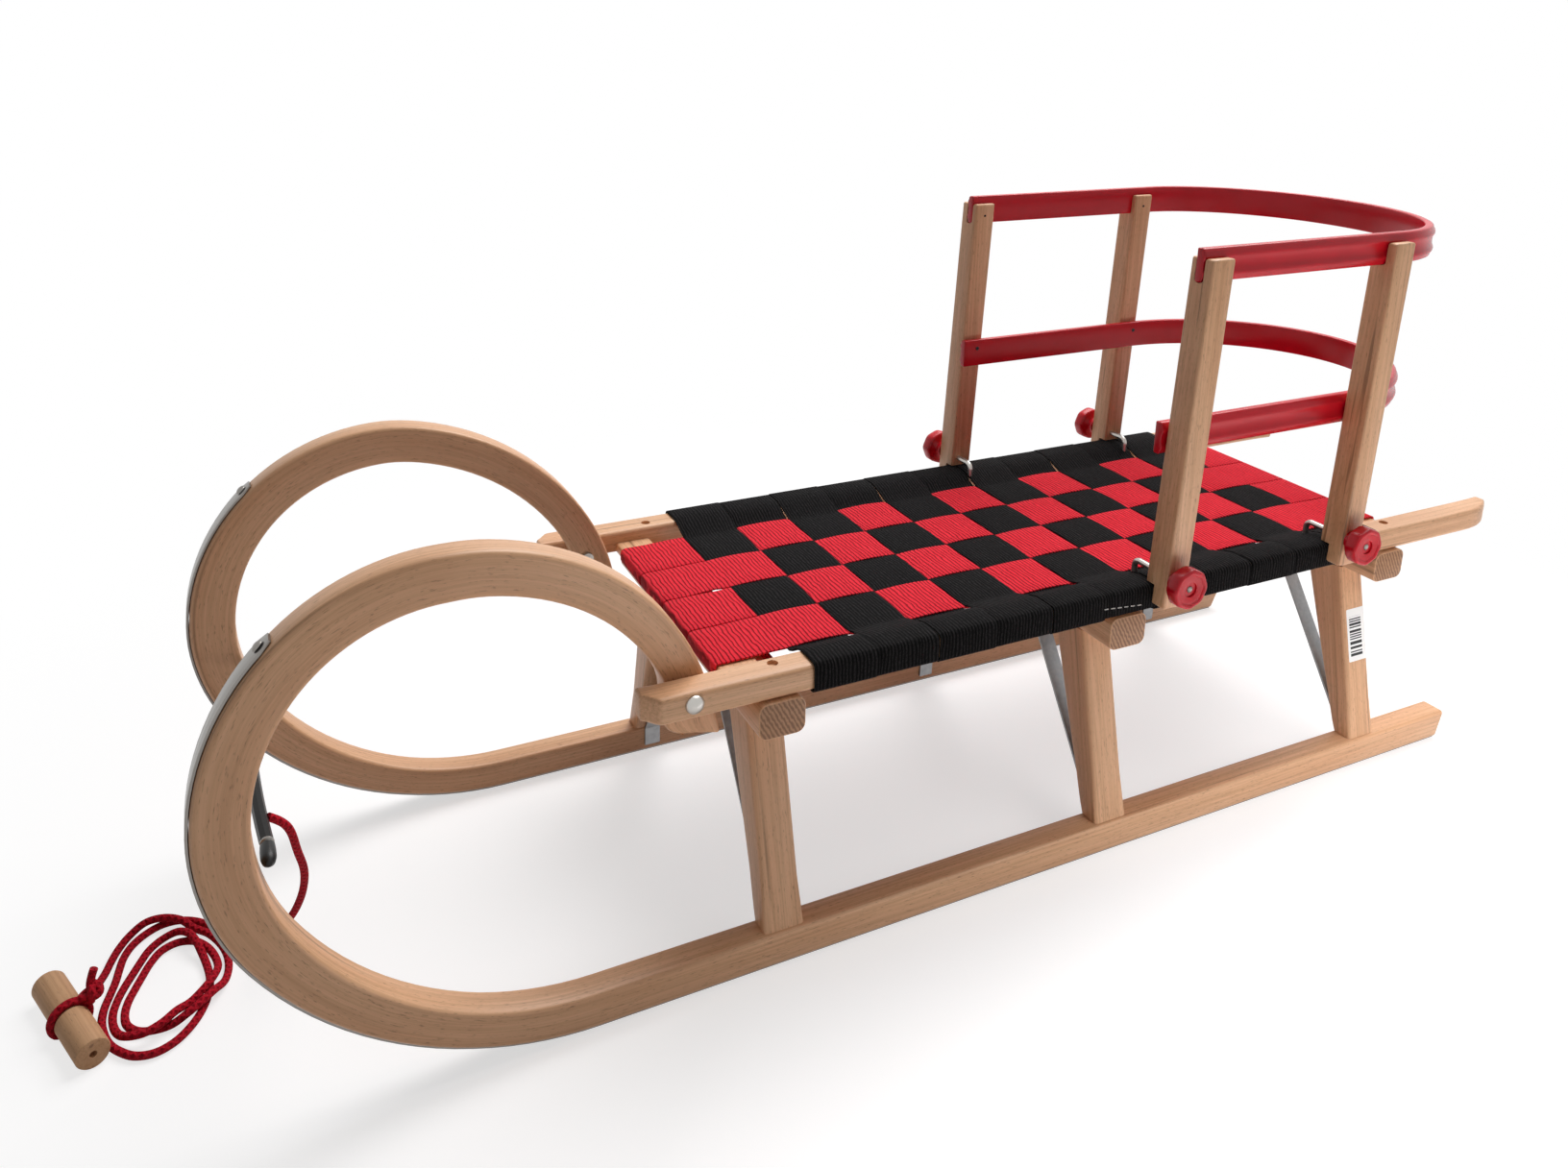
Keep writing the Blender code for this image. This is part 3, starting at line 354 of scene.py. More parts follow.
# The hanging stretch: how far it has moved off the exit at each share of the exit's height.
rope_fall = ((-7.5, 13.5, 0.903), (-24.7, 16.5, 0.73), (-37.1, 20.2, 0.622),
             (-57.8, 17.9, 0.434), (-79.3, 7.7, 0.245), (-98.0, -3.0, 0.133),
             (-116.0, -17.0, 0.052))
# The lying stretch: x, y and, where it isn't on the ground, how many thicknesses above it.
coil_knots = (
    (-52.1, -625.6), (-61.9, -634.7), (-71.0, -644.5), (-76.9, -656.4), (-76.9, -669.6),
    (-70.7, -681.4), (-61.0, -690.5), (-49.1, -696.0), (-36.1, -698.6), (-23.0, -700.6),
    (-10.1, -703.7), (3.1, -706.9), (16.5, -707.9), (29.7, -705.9), (42.3, -701.5),
    (53.2, -693.8), (61.8, -683.7), (64.6, -670.8), (60.0, -658.4), (50.8, -648.7),
    (39.6, -641.5), (27.2, -636.6), (14.0, -634.0), (0.7, -633.9), (-12.6, -635.7),
    (-25.3, -638.8, 0.37), (-37.3, -642.9, 1.1), (-49.0, -648.5, 1.18), (-57.4, -657.3, 0.75),
    (-57.6, -668.9, 0.13), (-49.8, -677.8), (-38.3, -683.6), (-26.2, -688.9), (-14.0, -694.1),
    (-1.4, -698.3), (11.8, -700.7), (25.1, -699.7, 0.03), (37.0, -695.5, 0.27),
    (46.0, -687.9, 0.87), (49.4, -676.9, 1.2), (45.2, -665.9, 1.3), (37.0, -656.3, 1.3),
    (29.4, -647.3, 0.87), (22.4, -638.9, 1.13), (12.6, -631.5, 1.2), (0.9, -627.9, 0.77),
    (-11.4, -627.9, 0.07), (-23.6, -630.7), (-35.8, -636.2), (-45.9, -644.8), (-49.6, -657.1),
    (-44.8, -668.9), (-34.0, -676.3), (-21.7, -681.5), (-9.3, -686.3), (3.3, -690.7),
    (16.0, -692.5), (28.2, -690.5), (37.6, -682.9), (41.4, -671.5), (41.8, -660.1, 0.12),
    (40.8, -649.5, 0.9), (35.2, -639.7, 1.22), (24.6, -629.9, 1.03), (13.0, -623.3, 0.27),
    (0.0, -620.3), (-13.4, -620.2), (-26.8, -622.9), (-39.6, -627.9), (-51.4, -634.9),
    (-61.0, -645.1, 0.2), (-70.4, -654.5, 0.88), (-76.2, -667.1, 1.2), (-77.6, -680.5, 1.03),
    (-72.4, -692.3, 0.3), (-61.6, -700.1), (-49.2, -704.7), (-36.6, -708.3, 0.03),
    (-24.6, -711.5, 0.43), (-13.6, -712.5, 1.47),
)
toggle_radius = 12.0
toggle_half = 47.6
toggle_centre = Vector((13.2, -727.8, toggle_radius))
toggle_turn = math.radians(22.2)
toggle_way = Vector((math.cos(toggle_turn), math.sin(toggle_turn), 0.0))
upward = Vector((0, 0, 1))
toggle_side = upward.cross(toggle_way)
knot_radius = 8.0
knot_tilt = math.radians(40)
knot_way = toggle_side * math.cos(knot_tilt) + upward * math.sin(knot_tilt)
knot_centre = toggle_centre + knot_way * (toggle_radius + 0.3 + knot_radius)
into_knot = (toggle_way * 0.75 - toggle_side * 0.44 + upward * 0.5).normalized()
knots = [Vector((x, y, rope_level + rope_thick * sum(up))) for x, y, *up in coil_knots]
lead = (knots[1] - knots[0]).normalized()
fall = [rope_exit + Vector((0, rope_thick, 0))]
for dx, dy, up in rope_fall:
    fall.append(Vector((rope_exit.x + dx, rope_exit.y + dy, rope_exit.z * up)))
fall += [knots[0] - lead * 15, knots[0]]
rope_line = [rope_exit, *smooth_line(fall, rope_spacing, start=(-0.3, 0.8, -0.6), end=lead)]
# The hanging stretch sags in one even curve.
for _ in range(40):
    threes = zip(rope_line, rope_line[1:], rope_line[2:])
    rope_line[1:-1] = [(a + b + c) / 3 for a, b, c in threes]
knots.append(knot_centre - into_knot * (knot_radius + 0.3))
rope_line += smooth_line(knots, rope_spacing, start=lead, end=into_knot)[1:]
rope_line.append(knot_centre - into_knot * 4.0)
bm = bmesh.new()
rod(bm, rope_line, rope_radius, 14)
rope = finished("rope", bm, braid, "red_rope", "rope_free", "rope_coil", smooth=60.0)

# The rope's last turn runs round the toggle over its groove and ends in a thick overhand
# knot with a short tail.
bm = bmesh.new()
ring_line = []
for i in range(49):
    a = 2 * math.pi * i / 48
    out = toggle_side * math.cos(a) + upward * math.sin(a)
    at = toggle_centre + out * (toggle_radius + 1.2)
    ring_line.append(Vector((at.x, at.y, max(at.z, rope_radius + 0.1))))
rod(bm, ring_line, rope_radius, 16)
knot_up = knot_way.cross(toggle_way)
knot_line = []
for i in range(40):
    a = 2 * math.pi * (i / 39) * 1.42 - 0.6
    ring = 5.4 + 1.3 * math.cos(1.5 * a)
    knot_line.append(knot_centre + knot_way * (ring * math.cos(a) - 0.5)
                     + toggle_way * ring * math.sin(a) + knot_up * 3.4 * math.sin(1.5 * a + 0.4))
rod(bm, knot_line, rope_radius, 14)
tail = [knot_centre + knot_up * 1.0, knot_centre + Vector((-2.5, 0.5, 5.5)),
        knot_centre + Vector((-5.0, 2.5, 12.0)), knot_centre + Vector((-5.5, 4.0, 15.5))]
neck = [toggle_centre + knot_way * (toggle_radius - 3.0), knot_centre - knot_way * 2.0]
for stretch in (tail, neck):
    rod(bm, smooth_line(stretch, 2.0), rope_radius, 14)
knot = finished("rope_end_knot", bm, braid, "red_rope", "rope_knot", smooth=60.0)

# The toggle is turned from a beech rod and left unvarnished, with a waist for the rope and
# a small centring hole in the sawn end that shows.
def beech(name, light, dark, gloss, coat):
    """Beech: pale pinkish wood with fine lengthwise lines and short dark flecks."""
    material, tree, shader = principled(name, rough=gloss, specular=0.35, Coat_Weight=coat,
                                        Coat_Roughness=0.3)
    grain = place(tree, "grain")
    # Broad tone: bands about 20 mm wide that run on for a quarter of a metre.
    tone = noise(grain, (4.0, 55.0, 55.0), 3.0)
    colour = blend(ranged(tone, 0.3, 0.7), *light)
    # Growth lines about 2 mm apart, drawn a little wider than the real 1 mm so they show.
    lines = noise(grain, (6.0, 400.0, 500.0), 5.0, Roughness=0.68)
    colour = blend(ranged(lines, 0.4, 0.68, top=0.6), colour, dark[0])
    # Flecks of the rays, really 0.3 by 3 mm and drawn at 0.7 by 6 mm so that they show.
    fleck = noise(grain, (160.0, 1400.0, 1400.0), 1.0)
    colour = blend(ranged(fleck, 0.63, 0.74, top=0.5), colour, dark[1])
    # A few long dark streaks, 1 to 2 mm wide, that the steamed wood shows.
    streak = noise(grain, (2.0, 170.0, 130.0), 2.0)
    colour = blend(ranged(streak, 0.65, 0.72, top=0.7), colour, dark[1])
    # Sawn ends are darker, with slanting saw marks really 1 mm apart and drawn at 2.4 mm.
    cut = add(tree, "ShaderNodeAttribute", attribute_name="sawn").outputs["Fac"]
    slanted = add(tree, "ShaderNodeMapping", {"Vector": place(tree), "Scale": (0.0, 1.0, 0.55)})
    marks = add(tree, "ShaderNodeTexWave", {"Vector": slanted.outputs[0], "Scale": 165.0,
                                            "Distortion": 3.0, "Detail Scale": 2.0},
                bands_direction="DIAGONAL").outputs["Fac"]
    colour = blend(cut, colour, blend(marks, dark[1], dark[0]))
    skinned(shader, colour, lines, 0.25, 0.0003)
    return material


raw_beech = beech("turned raw beech", ("#D6AA82", "#C99A72"), ("#B08058", "#85604A"), 0.65, 0.0)
# Half of the toggle from its waist outwards.
half = [(3.4, toggle_radius - 2 * rope_radius - 0.4), (3.6, toggle_radius - 0.9),
        (4.6, toggle_radius), (toggle_half - 1.5, toggle_radius),
        (toggle_half - 0.4, toggle_radius - 0.5), (toggle_half, toggle_radius - 1.5)]
toggle_profile = [(-toggle_half, 0.01), *((-u, v) for u, v in reversed(half)), *half,
                  (toggle_half, 2.6), (toggle_half - 9.0, 2.4), (toggle_half - 9.0, 0.01)]


def drawn(bm, points, closed=False):
    """Draw points joined in a row, and give them and the edges between them."""
    verts = [bm.verts.new(point) for point in points]
    following = verts[1:] + verts[:1] if closed else verts[1:]
    return verts, [bm.edges.new(pair) for pair in zip(verts, following)]


def turned(bm, profile, centre, sides, axis=Vector((1, 0, 0))):
    """Turn a profile of (along, out) pairs about an axis through a centre."""
    side = axis.orthogonal().normalized()
    verts, edges = drawn(bm, [centre + axis * u + side * v for u, v in profile])
    bmesh.ops.spin(bm, geom=verts + edges, cent=centre, axis=axis, angle=2 * math.pi,
                   steps=sides, use_merge=True)


def grained(bm, axis, seed):
    """Note each point's way along the grain, with a start of its own for each piece."""
    layer = noted(bm, "grain")
    chance = random.Random(seed)
    start = Vector([chance.random() for _ in range(3)])
    axis = Vector(axis)
    side = upward if abs(axis.z) < 0.9 else Vector((1, 0, 0))
    side = (side - axis * side.dot(axis)).normalized()
    other = axis.cross(side)
    for v in bm.verts:
        v[layer] = start + Vector((v.co.dot(axis), v.co.dot(side), v.co.dot(other))) * 0.001


bm = bmesh.new()
turned(bm, toggle_profile, toggle_centre, 64, toggle_way)
grained(bm, toggle_way, 1)
toggle = finished("toggle_turned", bm, raw_beech, "toggle_wood", "toggle", smooth=40.0)


# Each runner and its horn are one beech bar 25 mm wide, steamed and bent in a full loop
# from the ground up and back down onto the rail, deeper in the bend than on the ground.
both_sides = ((1, "left"), (-1, "right"))
oiled_beech = beech("oiled beech", ("#E9BA92", "#DBA77E"), ("#B5845C", "#7E5537"), 0.42, 0.1)
runner_low, runner_deep, runner_wide = 2.5, 27.5, 25.0
bar_outer, bar_lean = 177.1, 0.058
turns_in_at, turns_in_over = -452.8, 154.5
rear_slant = 0.36
# The radius and the degrees of each bend, and the bar's depth where it has turned so far.
horn_arcs = ((253.0, 59.1), (163.0, 68.0), (148.5, 64.6), (196.0, 57.1), (170.0, 9.0))
horn_depths = ((0.0, 27.5), (20.0, 27.5), (60.0, 33.5), (90.0, 36.0), (135.0, 34.5),
               (180.0, 33.5), (225.0, 31.5), (260.0, 30.0))
rail_inner, rail_outer, rail_low, rail_high = 138.5, 165.75, 238.3, 260.3


def horn_depth(turned_by):
    """Depth of the bar where it has turned by so many degrees."""
    for (t0, d0), (t1, d1) in zip(horn_depths, horn_depths[1:]):
        if turned_by <= t1:
            return d0 + (d1 - d0) * (turned_by - t0) / (t1 - t0)
    return horn_depths[-1][1]


def bar_x(y, z, turned_by):
    """X of the bar's outer face: it leans inwards, and its end lies against the rail."""
    leaning = bar_outer - bar_lean * (z - runner_low)
    if turned_by < 150.0:
        return leaning
    share = min(1.0, max(0.0, (y - turns_in_at) / turns_in_over))
    return leaning + (rail_inner - 0.3 - leaning) * share


bar_line = [(y, runner_low + runner_deep / 2, math.pi, 0.0)
            for y in (583.1, 400.0, 200.0, 0.0, -200.0, -366.3)]
y, z, heading, bent = bar_line[-1]
for radius, degrees in horn_arcs:
    centre_y = y + radius * math.sin(heading)
    centre_z = z - radius * math.cos(heading)
    steps = round(degrees / 3.0)
    start = heading
    for i in range(1, steps + 1):
        heading = start - math.radians(degrees) * i / steps
        y = centre_y - radius * math.sin(heading)
        z = centre_z + radius * math.cos(heading)
        bar_line.append((y, z, heading, bent + degrees * i / steps))
    bent += degrees
# The bar's cut end is rounded off on its upper side and skewed.
tail_first = len(bar_line)
tail_round = 13.0
tail_step = 18.0
for i in range(6):
    on = 4.0 + tail_round * math.sin(math.radians(tail_step * i))
    bar_line.append((y + on * math.cos(heading), z + on * math.sin(heading), heading, bent))


def bar_place(i, low, high, skew=0.0):
    """The place of a section whose depth runs from low to high off the bar's line."""
    y, z, heading, bent = bar_line[i]
    y += math.cos(heading) * skew / 2
    z += math.sin(heading) * skew / 2
    up_y, up_z = math.sin(heading), -math.cos(heading)
    middle = (low + high) / 2
    slant = rear_slant if i == 0 else 0.0
    at_y = y + up_y * middle - slant * (runner_deep / 2 - middle)
    at_z = z + up_z * middle
    x = bar_x(at_y, at_z, bent) - runner_wide / 2
    along_y, along_z = skew * math.cos(heading), skew * math.sin(heading)
    return Matrix(((1.0, -bar_lean * up_z * (high - low), 0.0, x),
                   (0.0, (up_y + slant) * (high - low) - along_y, math.cos(heading), at_y),
                   (0.0, up_z * (high - low) - along_z, math.sin(heading), at_z),
                   (0.0, 0.0, 0.0, 1.0)))


def bevelled(bm, geom, radius, steps=3, affect="EDGES", clamped=False):
    """Round edges or corners."""
    bmesh.ops.bevel(bm, geom=geom, offset=radius, segments=steps, profile=0.5, affect=affect,
                    material=-1, clamp_overlap=clamped)


def rounded(bm, wide, deep, radius, steps=3):
    """The outline of a rectangle with round corners, flat about the origin."""
    old = set(bm.faces)
    verts = bmesh.ops.create_grid(bm, x_segments=1, y_segments=1, size=0.5)["verts"]
    bmesh.ops.scale(bm, vec=(wide, deep, 1.0), verts=verts)
    bevelled(bm, verts, radius, steps, "VERTICES")
    face = next(f for f in bm.faces if f not in old)
    edges = list(face.edges)
    bmesh.ops.delete(bm, geom=[face], context="FACES_ONLY")
    return edges


def softened(bm, faces, radius):
    """Round the edges about the end faces of a piece."""
    bevelled(bm, list({e for f in faces for e in f.edges}), radius)


def mirrored(bm, side):
    """Send a piece drawn for the left side over to the right one."""
    bmesh.ops.scale(bm, vec=(side, 1.0, 1.0), verts=bm.verts)


bar_run = [0.0]
for here, there in zip(bar_line, bar_line[1:]):
    bar_run.append(bar_run[-1] + math.dist(here[:2], there[:2]))
for side, word in both_sides:
    bm = bmesh.new()
    grain_layer = noted(bm, "grain")
    edges = rounded(bm, runner_wide, runner_deep, 3.2)
    places = []
    for i, (y, z, heading, bent) in enumerate(bar_line):
        half = horn_depth(bent) / 2
        high = half
        # Down beside the rail the bar grows deeper.
        if z < rail_high and bent > 180.0:
            high += 11.0 * min(1.0, (rail_high - z) / 34.0)
        skew = 0.0
        if i >= tail_first:
            cut = i - tail_first
            high -= tail_round * (1 - math.cos(math.radians(tail_step * cut)))
            skew = 3.2 * cut
        places.append(bar_place(i, -half, high, skew)
                      @ Matrix.Scale(1 / runner_deep, 4, (0, 1, 0)))
    start = 900.0 * side + 2000
    ends = closed_bar(bm, edges, places, grain_layer, [start + r for r in bar_run])
    softened(bm, ends, 3.0)
    mirrored(bm, side)
    finished(f"bar_{word}", bm, oiled_beech, "beech", f"runner_{word}")


# The shoes are flat bars of bright steel 18 by 2.2 mm under the runners. Each follows the
# bend up to the top of the horn, where it ends in a narrowed tip under a round screw.
def mottled(name, low, high, scale, detail, along=None, gloss=None, skin=None, **sockets):
    """A material whose colour, and its gloss if asked, wander, with a fine skin if asked."""
    material, tree, shader = principled(name, **sockets)
    where = place(tree, along)
    cloud = noise(where, scale, detail)
    colour = blend(cloud, low, high)
    feed(shader, {"Base Color": colour})
    if gloss:
        feed(shader, {"Roughness": ranged(cloud, 0.0, 1.0, *gloss)})
    if skin:
        skinned(shader, colour, noise(where, skin[0], 2.0), *skin[1:])
    return material


# Rolled steel: a grey shine with faint lines along the bar, 1 mm apart.
steel_lines = {"scale": (12.0, 900.0, 900.0), "detail": 3.0, "along": "lay",
               "gloss": (0.2, 0.42), "Metallic": 1.0}
bright_steel = mottled("rolled bright steel", "#98948F", "#6A6662", **steel_lines)
shoe_wide, shoe_thick, shoe_gap = 18.0, 2.2, 0.3
shoe_last = max(i for i, s in enumerate(bar_line) if s[3] <= 140.5)
for side, word in both_sides:
    bm = bmesh.new()
    lay_layer = noted(bm, "lay")
    edges = rounded(bm, shoe_wide, shoe_thick, 0.6)
    places = []
    for i in range(shoe_last + 1):
        top = -horn_depth(bar_line[i][3]) / 2 - shoe_gap
        narrow = 0.62 if i == shoe_last else 1.0
        places.append(bar_place(i, top - shoe_thick, top)
                      @ Matrix.Scale(1 / shoe_thick, 4, (0, 1, 0))
                      @ Matrix.Scale(narrow, 4, (1, 0, 0)))
    closed_bar(bm, edges, places, lay_layer, bar_run)
    # The round-headed screw that holds the tip.
    under = -horn_depth(130.0) / 2
    screw = bar_place(shoe_last - 1, under - shoe_gap - shoe_thick - 1.0, under)
    out = -(screw.to_3x3() @ Vector((0, 1, 0))).normalized()
    head = screw.translation + out * 1.6
    turned(bm, [(0.0, 4.4), (0.9, 3.9), (1.7, 2.4), (2.0, 1.0), (2.0, 0.01)], head, 24, out)
    mirrored(bm, side)
    finished(f"sole_{word}", bm, bright_steel, "shoe_steel", f"shoe_{word}")


# The two seat rails are beech, 27 mm wide and 22 mm high, well rounded, with a screw sunk
# in each end and a tip that is cut away on its outer side at the rear.
def screw_hole(bm, centre, radius, depth):
    """Sink a round hole into a level face."""
    for axis in (Vector((1, 0, 0)), Vector((0, 1, 0))):
        for value in (-radius - 2, radius + 2):
            bmesh.ops.bisect_plane(bm, geom=bm.verts[:] + bm.edges[:] + bm.faces[:],
                                   plane_co=centre + axis * value, plane_no=axis)
    pick = min((f for f in bm.faces if abs(f.normal.z) > 0.99),
               key=lambda f: (f.calc_center_median() - centre).length)
    outer = list(pick.edges)
    bmesh.ops.delete(bm, geom=[pick], context="FACES_ONLY")
    bmesh.ops.subdivide_edges(bm, edges=outer, cuts=3)
    outer = [e for e in bm.edges if e.is_boundary]
    inner = circle(bm, 16, radius, centre)
    bmesh.ops.bridge_loops(bm, edges=outer + inner)
    grown = bmesh.ops.extrude_edge_only(bm, edges=inner)["geom"]
    down = [g for g in grown if isinstance(g, bmesh.types.BMVert)]
    bmesh.ops.translate(bm, vec=(0, 0, -depth), verts=down)
    closed_over(bm, [e for e in bm.edges if e.is_boundary and all(v in down for v in e.verts)])


rail_front, rail_rear = -323.3, 626.7
rail_wide = rail_outer - rail_inner
rail_nose = [(rail_front + 14.0 * s, 13.0 * (1 - s * s * (3 - 2 * s)))
             for s in (0.0, 0.12, 0.25, 0.37, 0.5, 0.62, 0.75, 0.87, 1.0)]
rail_tip = [(rail_rear - 52.0 * (1 - s), 16.0 * s**2.6)
            for s in (0.0, 0.2, 0.4, 0.55, 0.7, 0.8, 0.9, 1.0)]
rail_straight = [(y, 0.0) for y in (-200.0, 0.0, 200.0, 450.0)]
for side, word in both_sides:
    bm = bmesh.new()
    edges = rounded(bm, rail_wide, rail_high - rail_low, 4.2, 4)
    places = []
    for y, inset in rail_nose + rail_straight + rail_tip:
        wide = rail_wide - inset
        places.append(Matrix(((wide / rail_wide, 0, 0, rail_inner + wide / 2), (0, 0, -1, y),
                              (0, 1, 0, (rail_low + rail_high) / 2), (0, 0, 0, 1))))
    softened(bm, closed_bar(bm, edges, places), 2.2)
    bmesh.ops.recalc_face_normals(bm, faces=bm.faces)
    for y in (-214.3, 470.7):
        screw_hole(bm, Vector((149.0, y, rail_high)), 4.5, 3.0)
    mirrored(bm, side)
    grained(bm, (0, 1, 0), 20 + side)
    finished(f"side_rail_{word}", bm, oiled_beech, "beech", f"rail_{word}")


# Three crossbeams carry the rails, and each stands on two legs that are tenoned into the
# runners and flare towards the beam. All are beech with rounded edges.
def crossways(x, y, z):
    """The place of a section of a beam that lies across the sled."""
    return Matrix(((0, 0, 1, x), (1, 0, 0, y), (0, 1, 0, z), (0, 0, 0, 1)))


def leg_outer(share):
    """X of a leg's outer face at a share of its height."""
    foot = bar_outer - bar_lean * runner_deep - 3.8
    return foot + (129.0 - foot) * share


beams = (("front", -214.3), ("middle", 125.7), ("rear", 461.7))
leg_shift = {"front": 3.5, "middle": -0.5, "rear": -3.0}
beam_low, beam_high, beam_half = 207.0, 238.0, 169.0
leg_low, leg_high = 30.3, 206.7
for k, (row, y) in enumerate(beams):
    bm = bmesh.new()
    edges = rounded(bm, 40.0, beam_high - beam_low, 7.5, 5)
    places = [crossways(x, y, (beam_low + beam_high) / 2) for x in (-beam_half, 0.0, beam_half)]
    softened(bm, closed_bar(bm, edges, places), 1.2)
    sawn = bm.verts.layers.float.new("sawn")
    for v in bm.verts:
        v[sawn] = float(abs(v.co.x) > beam_half - 0.1)
    grained(bm, (1, 0, 0), 30 + k)
    finished(f"beam_{row}", bm, oiled_beech, "beech", f"crossbeam_{row}")
    for side, word in both_sides:
        bm = bmesh.new()
        edges = rounded(bm, 30.0, 34.0, 4.0)
        places = []
        for share in (0.0, 0.05, 0.12, 0.22, 0.35, 0.5, 0.65, 0.8, 0.92, 1.0):
            thick = 20.9 + 22.1 * share**0.75
            wide = 36.0 - 3.5 * min(1.0, share / 0.22)
            places.append(Matrix(((thick / 30, 0, 0, leg_outer(share) - thick / 2),
                                  (0, wide / 34, 0, y + leg_shift[row]),
                                  (0, 0, 1, leg_low + (leg_high - leg_low) * share),
                                  (0, 0, 0, 1))))
        closed_bar(bm, edges, places)
        mirrored(bm, side)
        grained(bm, Vector((-0.23 * side, 0, 1)).normalized(), 40 + 2 * k + side)
        finished(f"upright_{row}_{word}", bm, oiled_beech, "beech", f"leg_{row}_{word}")


# A flat steel stay runs from the inner side of each runner up to the middle of its beam.
# It is galvanised: dull grey with a faint mottle.
zinc = mottled("galvanised steel", "#77787A", "#A9AAAB", 160.0, 4.0, gloss=(0.3, 0.55),
               Metallic=1.0)
for row in ("front", "middle", "rear"):
    for word in ("left", "right"):
        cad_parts[f"stay_{row}_{word}"].material_slots[0].material = zinc


# Two thin beech bars between the rails carry the ends of the red webbing. Each is a flat
# batten with rounded edges, and its grain runs across the sled.
for k, (row, y) in enumerate((("front", -231.3), ("rear", 478.7))):
    bm = bmesh.new()
    edges = rounded(bm, 34.0, 10.3, 2.5)
    closed_bar(bm, edges, [crossways(x, y, 243.45) for x in (-138.2, 138.2)])
    grained(bm, (1, 0, 0), 60 + k)
    finished(f"webbing_bar_{row}", bm, oiled_beech, "beech", f"seat_bar_{row}")


# A zinc-plated coach bolt holds each horn's end to its rail: a low round head outside and
# a domed nut inside. The plating shines a little brighter than the shoes.
plated = mottled("zinc-plated bolt steel", "#D2CFCA", "#A39F99", **steel_lines)
bolt_profile = [(110.4, 0.01), (110.4, 3.2), (109.6, 5.2), (109.0, 5.8), (112.9, 5.8),
                (113.1, 3.0), (166.05, 3.0), (166.05, 7.5), (166.9, 7.3), (168.2, 6.3),
                (169.5, 4.4), (170.3, 2.2), (170.6, 0.01)]
for side, word in both_sides:
    bm = bmesh.new()
    turned(bm, bolt_profile, Vector((0, -285.3, 251.0)), 32)
    mirrored(bm, side)
    finished(f"coach_bolt_{word}", bm, plated, "bolt_steel", f"horn_bolt_{word}", smooth=50)


# The pull bar is a black lacquered steel bar bowed forwards between the horns, slightly
# pebbled by its enamel. A bright sleeve and a black rubber foot close each end.
lacquer = mottled("black stove enamel", "#080706", "#181513", 450.0, 2.0,
                  skin=(450.0, 0.2, 0.0003), rough=0.35, specular=0.14)
bm = bmesh.new()
pull_centre = Vector((0, -580.3, 197.0))
pull_line = []
for i in range(25):
    x = -124.0 + 248.0 * i / 24
    pull_line.append(pull_centre + Vector((x, -6.0 * (1 - (x / 127.0) ** 2), 0)))
rod(bm, pull_line, 4.8, 8)
finished("pull_bar_rod", bm, lacquer, "bar_steel", "pull_bar", smooth=25.0)

# Rubber: a soft black with a faint grey bloom.
rubber = mottled("moulded black rubber", "#060606", "#121212", 300.0, 3.0, rough=0.4,
                 specular=0.3)
sleeve = [(123.5, 4.0), (124.3, 4.7), (126.0, 4.7), (126.6, 3.6), (129.0, 3.6), (129.0, 0.01)]
foot = [(127.6, 0.01), (127.6, 3.4), (129.0, 4.9), (134.0, 5.2), (142.0, 5.2), (146.5, 4.2),
        (148.8, 2.0), (149.0, 0.01)]
for side, word in both_sides:
    for end, profile, material in (("sleeve", sleeve, bright_steel), ("foot", foot, rubber)):
        bm = bmesh.new()
        turned(bm, profile, pull_centre, 24)
        mirrored(bm, side)
        finished(f"pull_bar_{end}_{word}", bm, material, "bar_steel")


# The seat is woven of ribbed webbing: four red straps lengthwise round the end bars, and
# eleven black ones across, over and under them and round the rails.
def webbing(name, low, high, rib, tight, loose, sheen):
    """Woven polypropylene webbing: matt, with slightly wavy ribs across the strap, and painted
    shade in the rib valleys and painted highlights on the rib tops.
    """
    material, tree, shader = principled(name, rough=0.85, specular=0.06, Sheen_Weight=sheen)
    spot = place(tree)
    # The ribs wander by up to 2.4 mm over some 20 mm of their length.
    wander = ranged(noise(spot, (55.0, 90.0, 40.0), 2.0), 0.0, 1.0, -0.0024, 0.0024)
    shift = add(tree, "ShaderNodeCombineXYZ", {1: wander}).outputs[0]
    bent = add(tree, "ShaderNodeVectorMath", {0: spot, 1: shift}, operation="ADD").outputs[0]
    # A wave's period is 2 pi / 20 of a unit at scale 1. The real ribs are 2 to 3 mm apart.
    ribs = add(tree, "ShaderNodeTexWave", {"Vector": bent, "Scale": 0.31416 / rib},
               bands_direction="Y").outputs["Fac"]
    rib_top = ranged(ribs, 0.0, tight, interpolation_type="SMOOTHSTEP")
    thread = ranged(noise(spot, (260.0, 700.0, 700.0), 2.0), 0.3, 0.7, loose)
    weave = calculated("MULTIPLY", rib_top, thread)
    # The colour runs from low in the rib valleys to high on the rib tops: painted shade and
    # painted highlights that follow the relief.
    skinned(shader, blend(weave, low, high), weave, 1.0, 0.0008)
    return material


# On the black webbing the low colour is its own near black, and the grey high colour is a painted
# highlight on the rib tops.
black_web = webbing("black nylon webbing", "#030303", "#2A2728", 0.0032, 1.0, 0.2, 0.02)
# On the red webbing the high colour is its own red, and the low colour is painted shade in the
# thin rib valleys.
red_web = webbing("red polypropylene webbing", "#A00F1E", "#F63242", 0.0038, 0.42, 0.8, 0.08)
web_thick = 1.7
black_wide, black_pitch, black_first = 56.8, 57.2, -186.7
red_wide, red_pitch = 58.4, 59.5
web_middle, web_swing = 251.3, 1.3
red_x = [red_pitch * (1.5 - k) for k in range(4)]
black_y = [black_first + black_wide / 2 + black_pitch * j for j in range(11)]


def black_is_over(j, k):
    """True where black strap j lies over red strap k, counted from the front left."""
    return (j + k) % 2 == 1


def crest(off, pitch):
    """How far a strap has risen off the middle of the weave: 1 at a crossing, 0 between."""
    return math.cos(min(1.0, abs(off) / (pitch / 2)) * math.pi / 2) ** 0.7


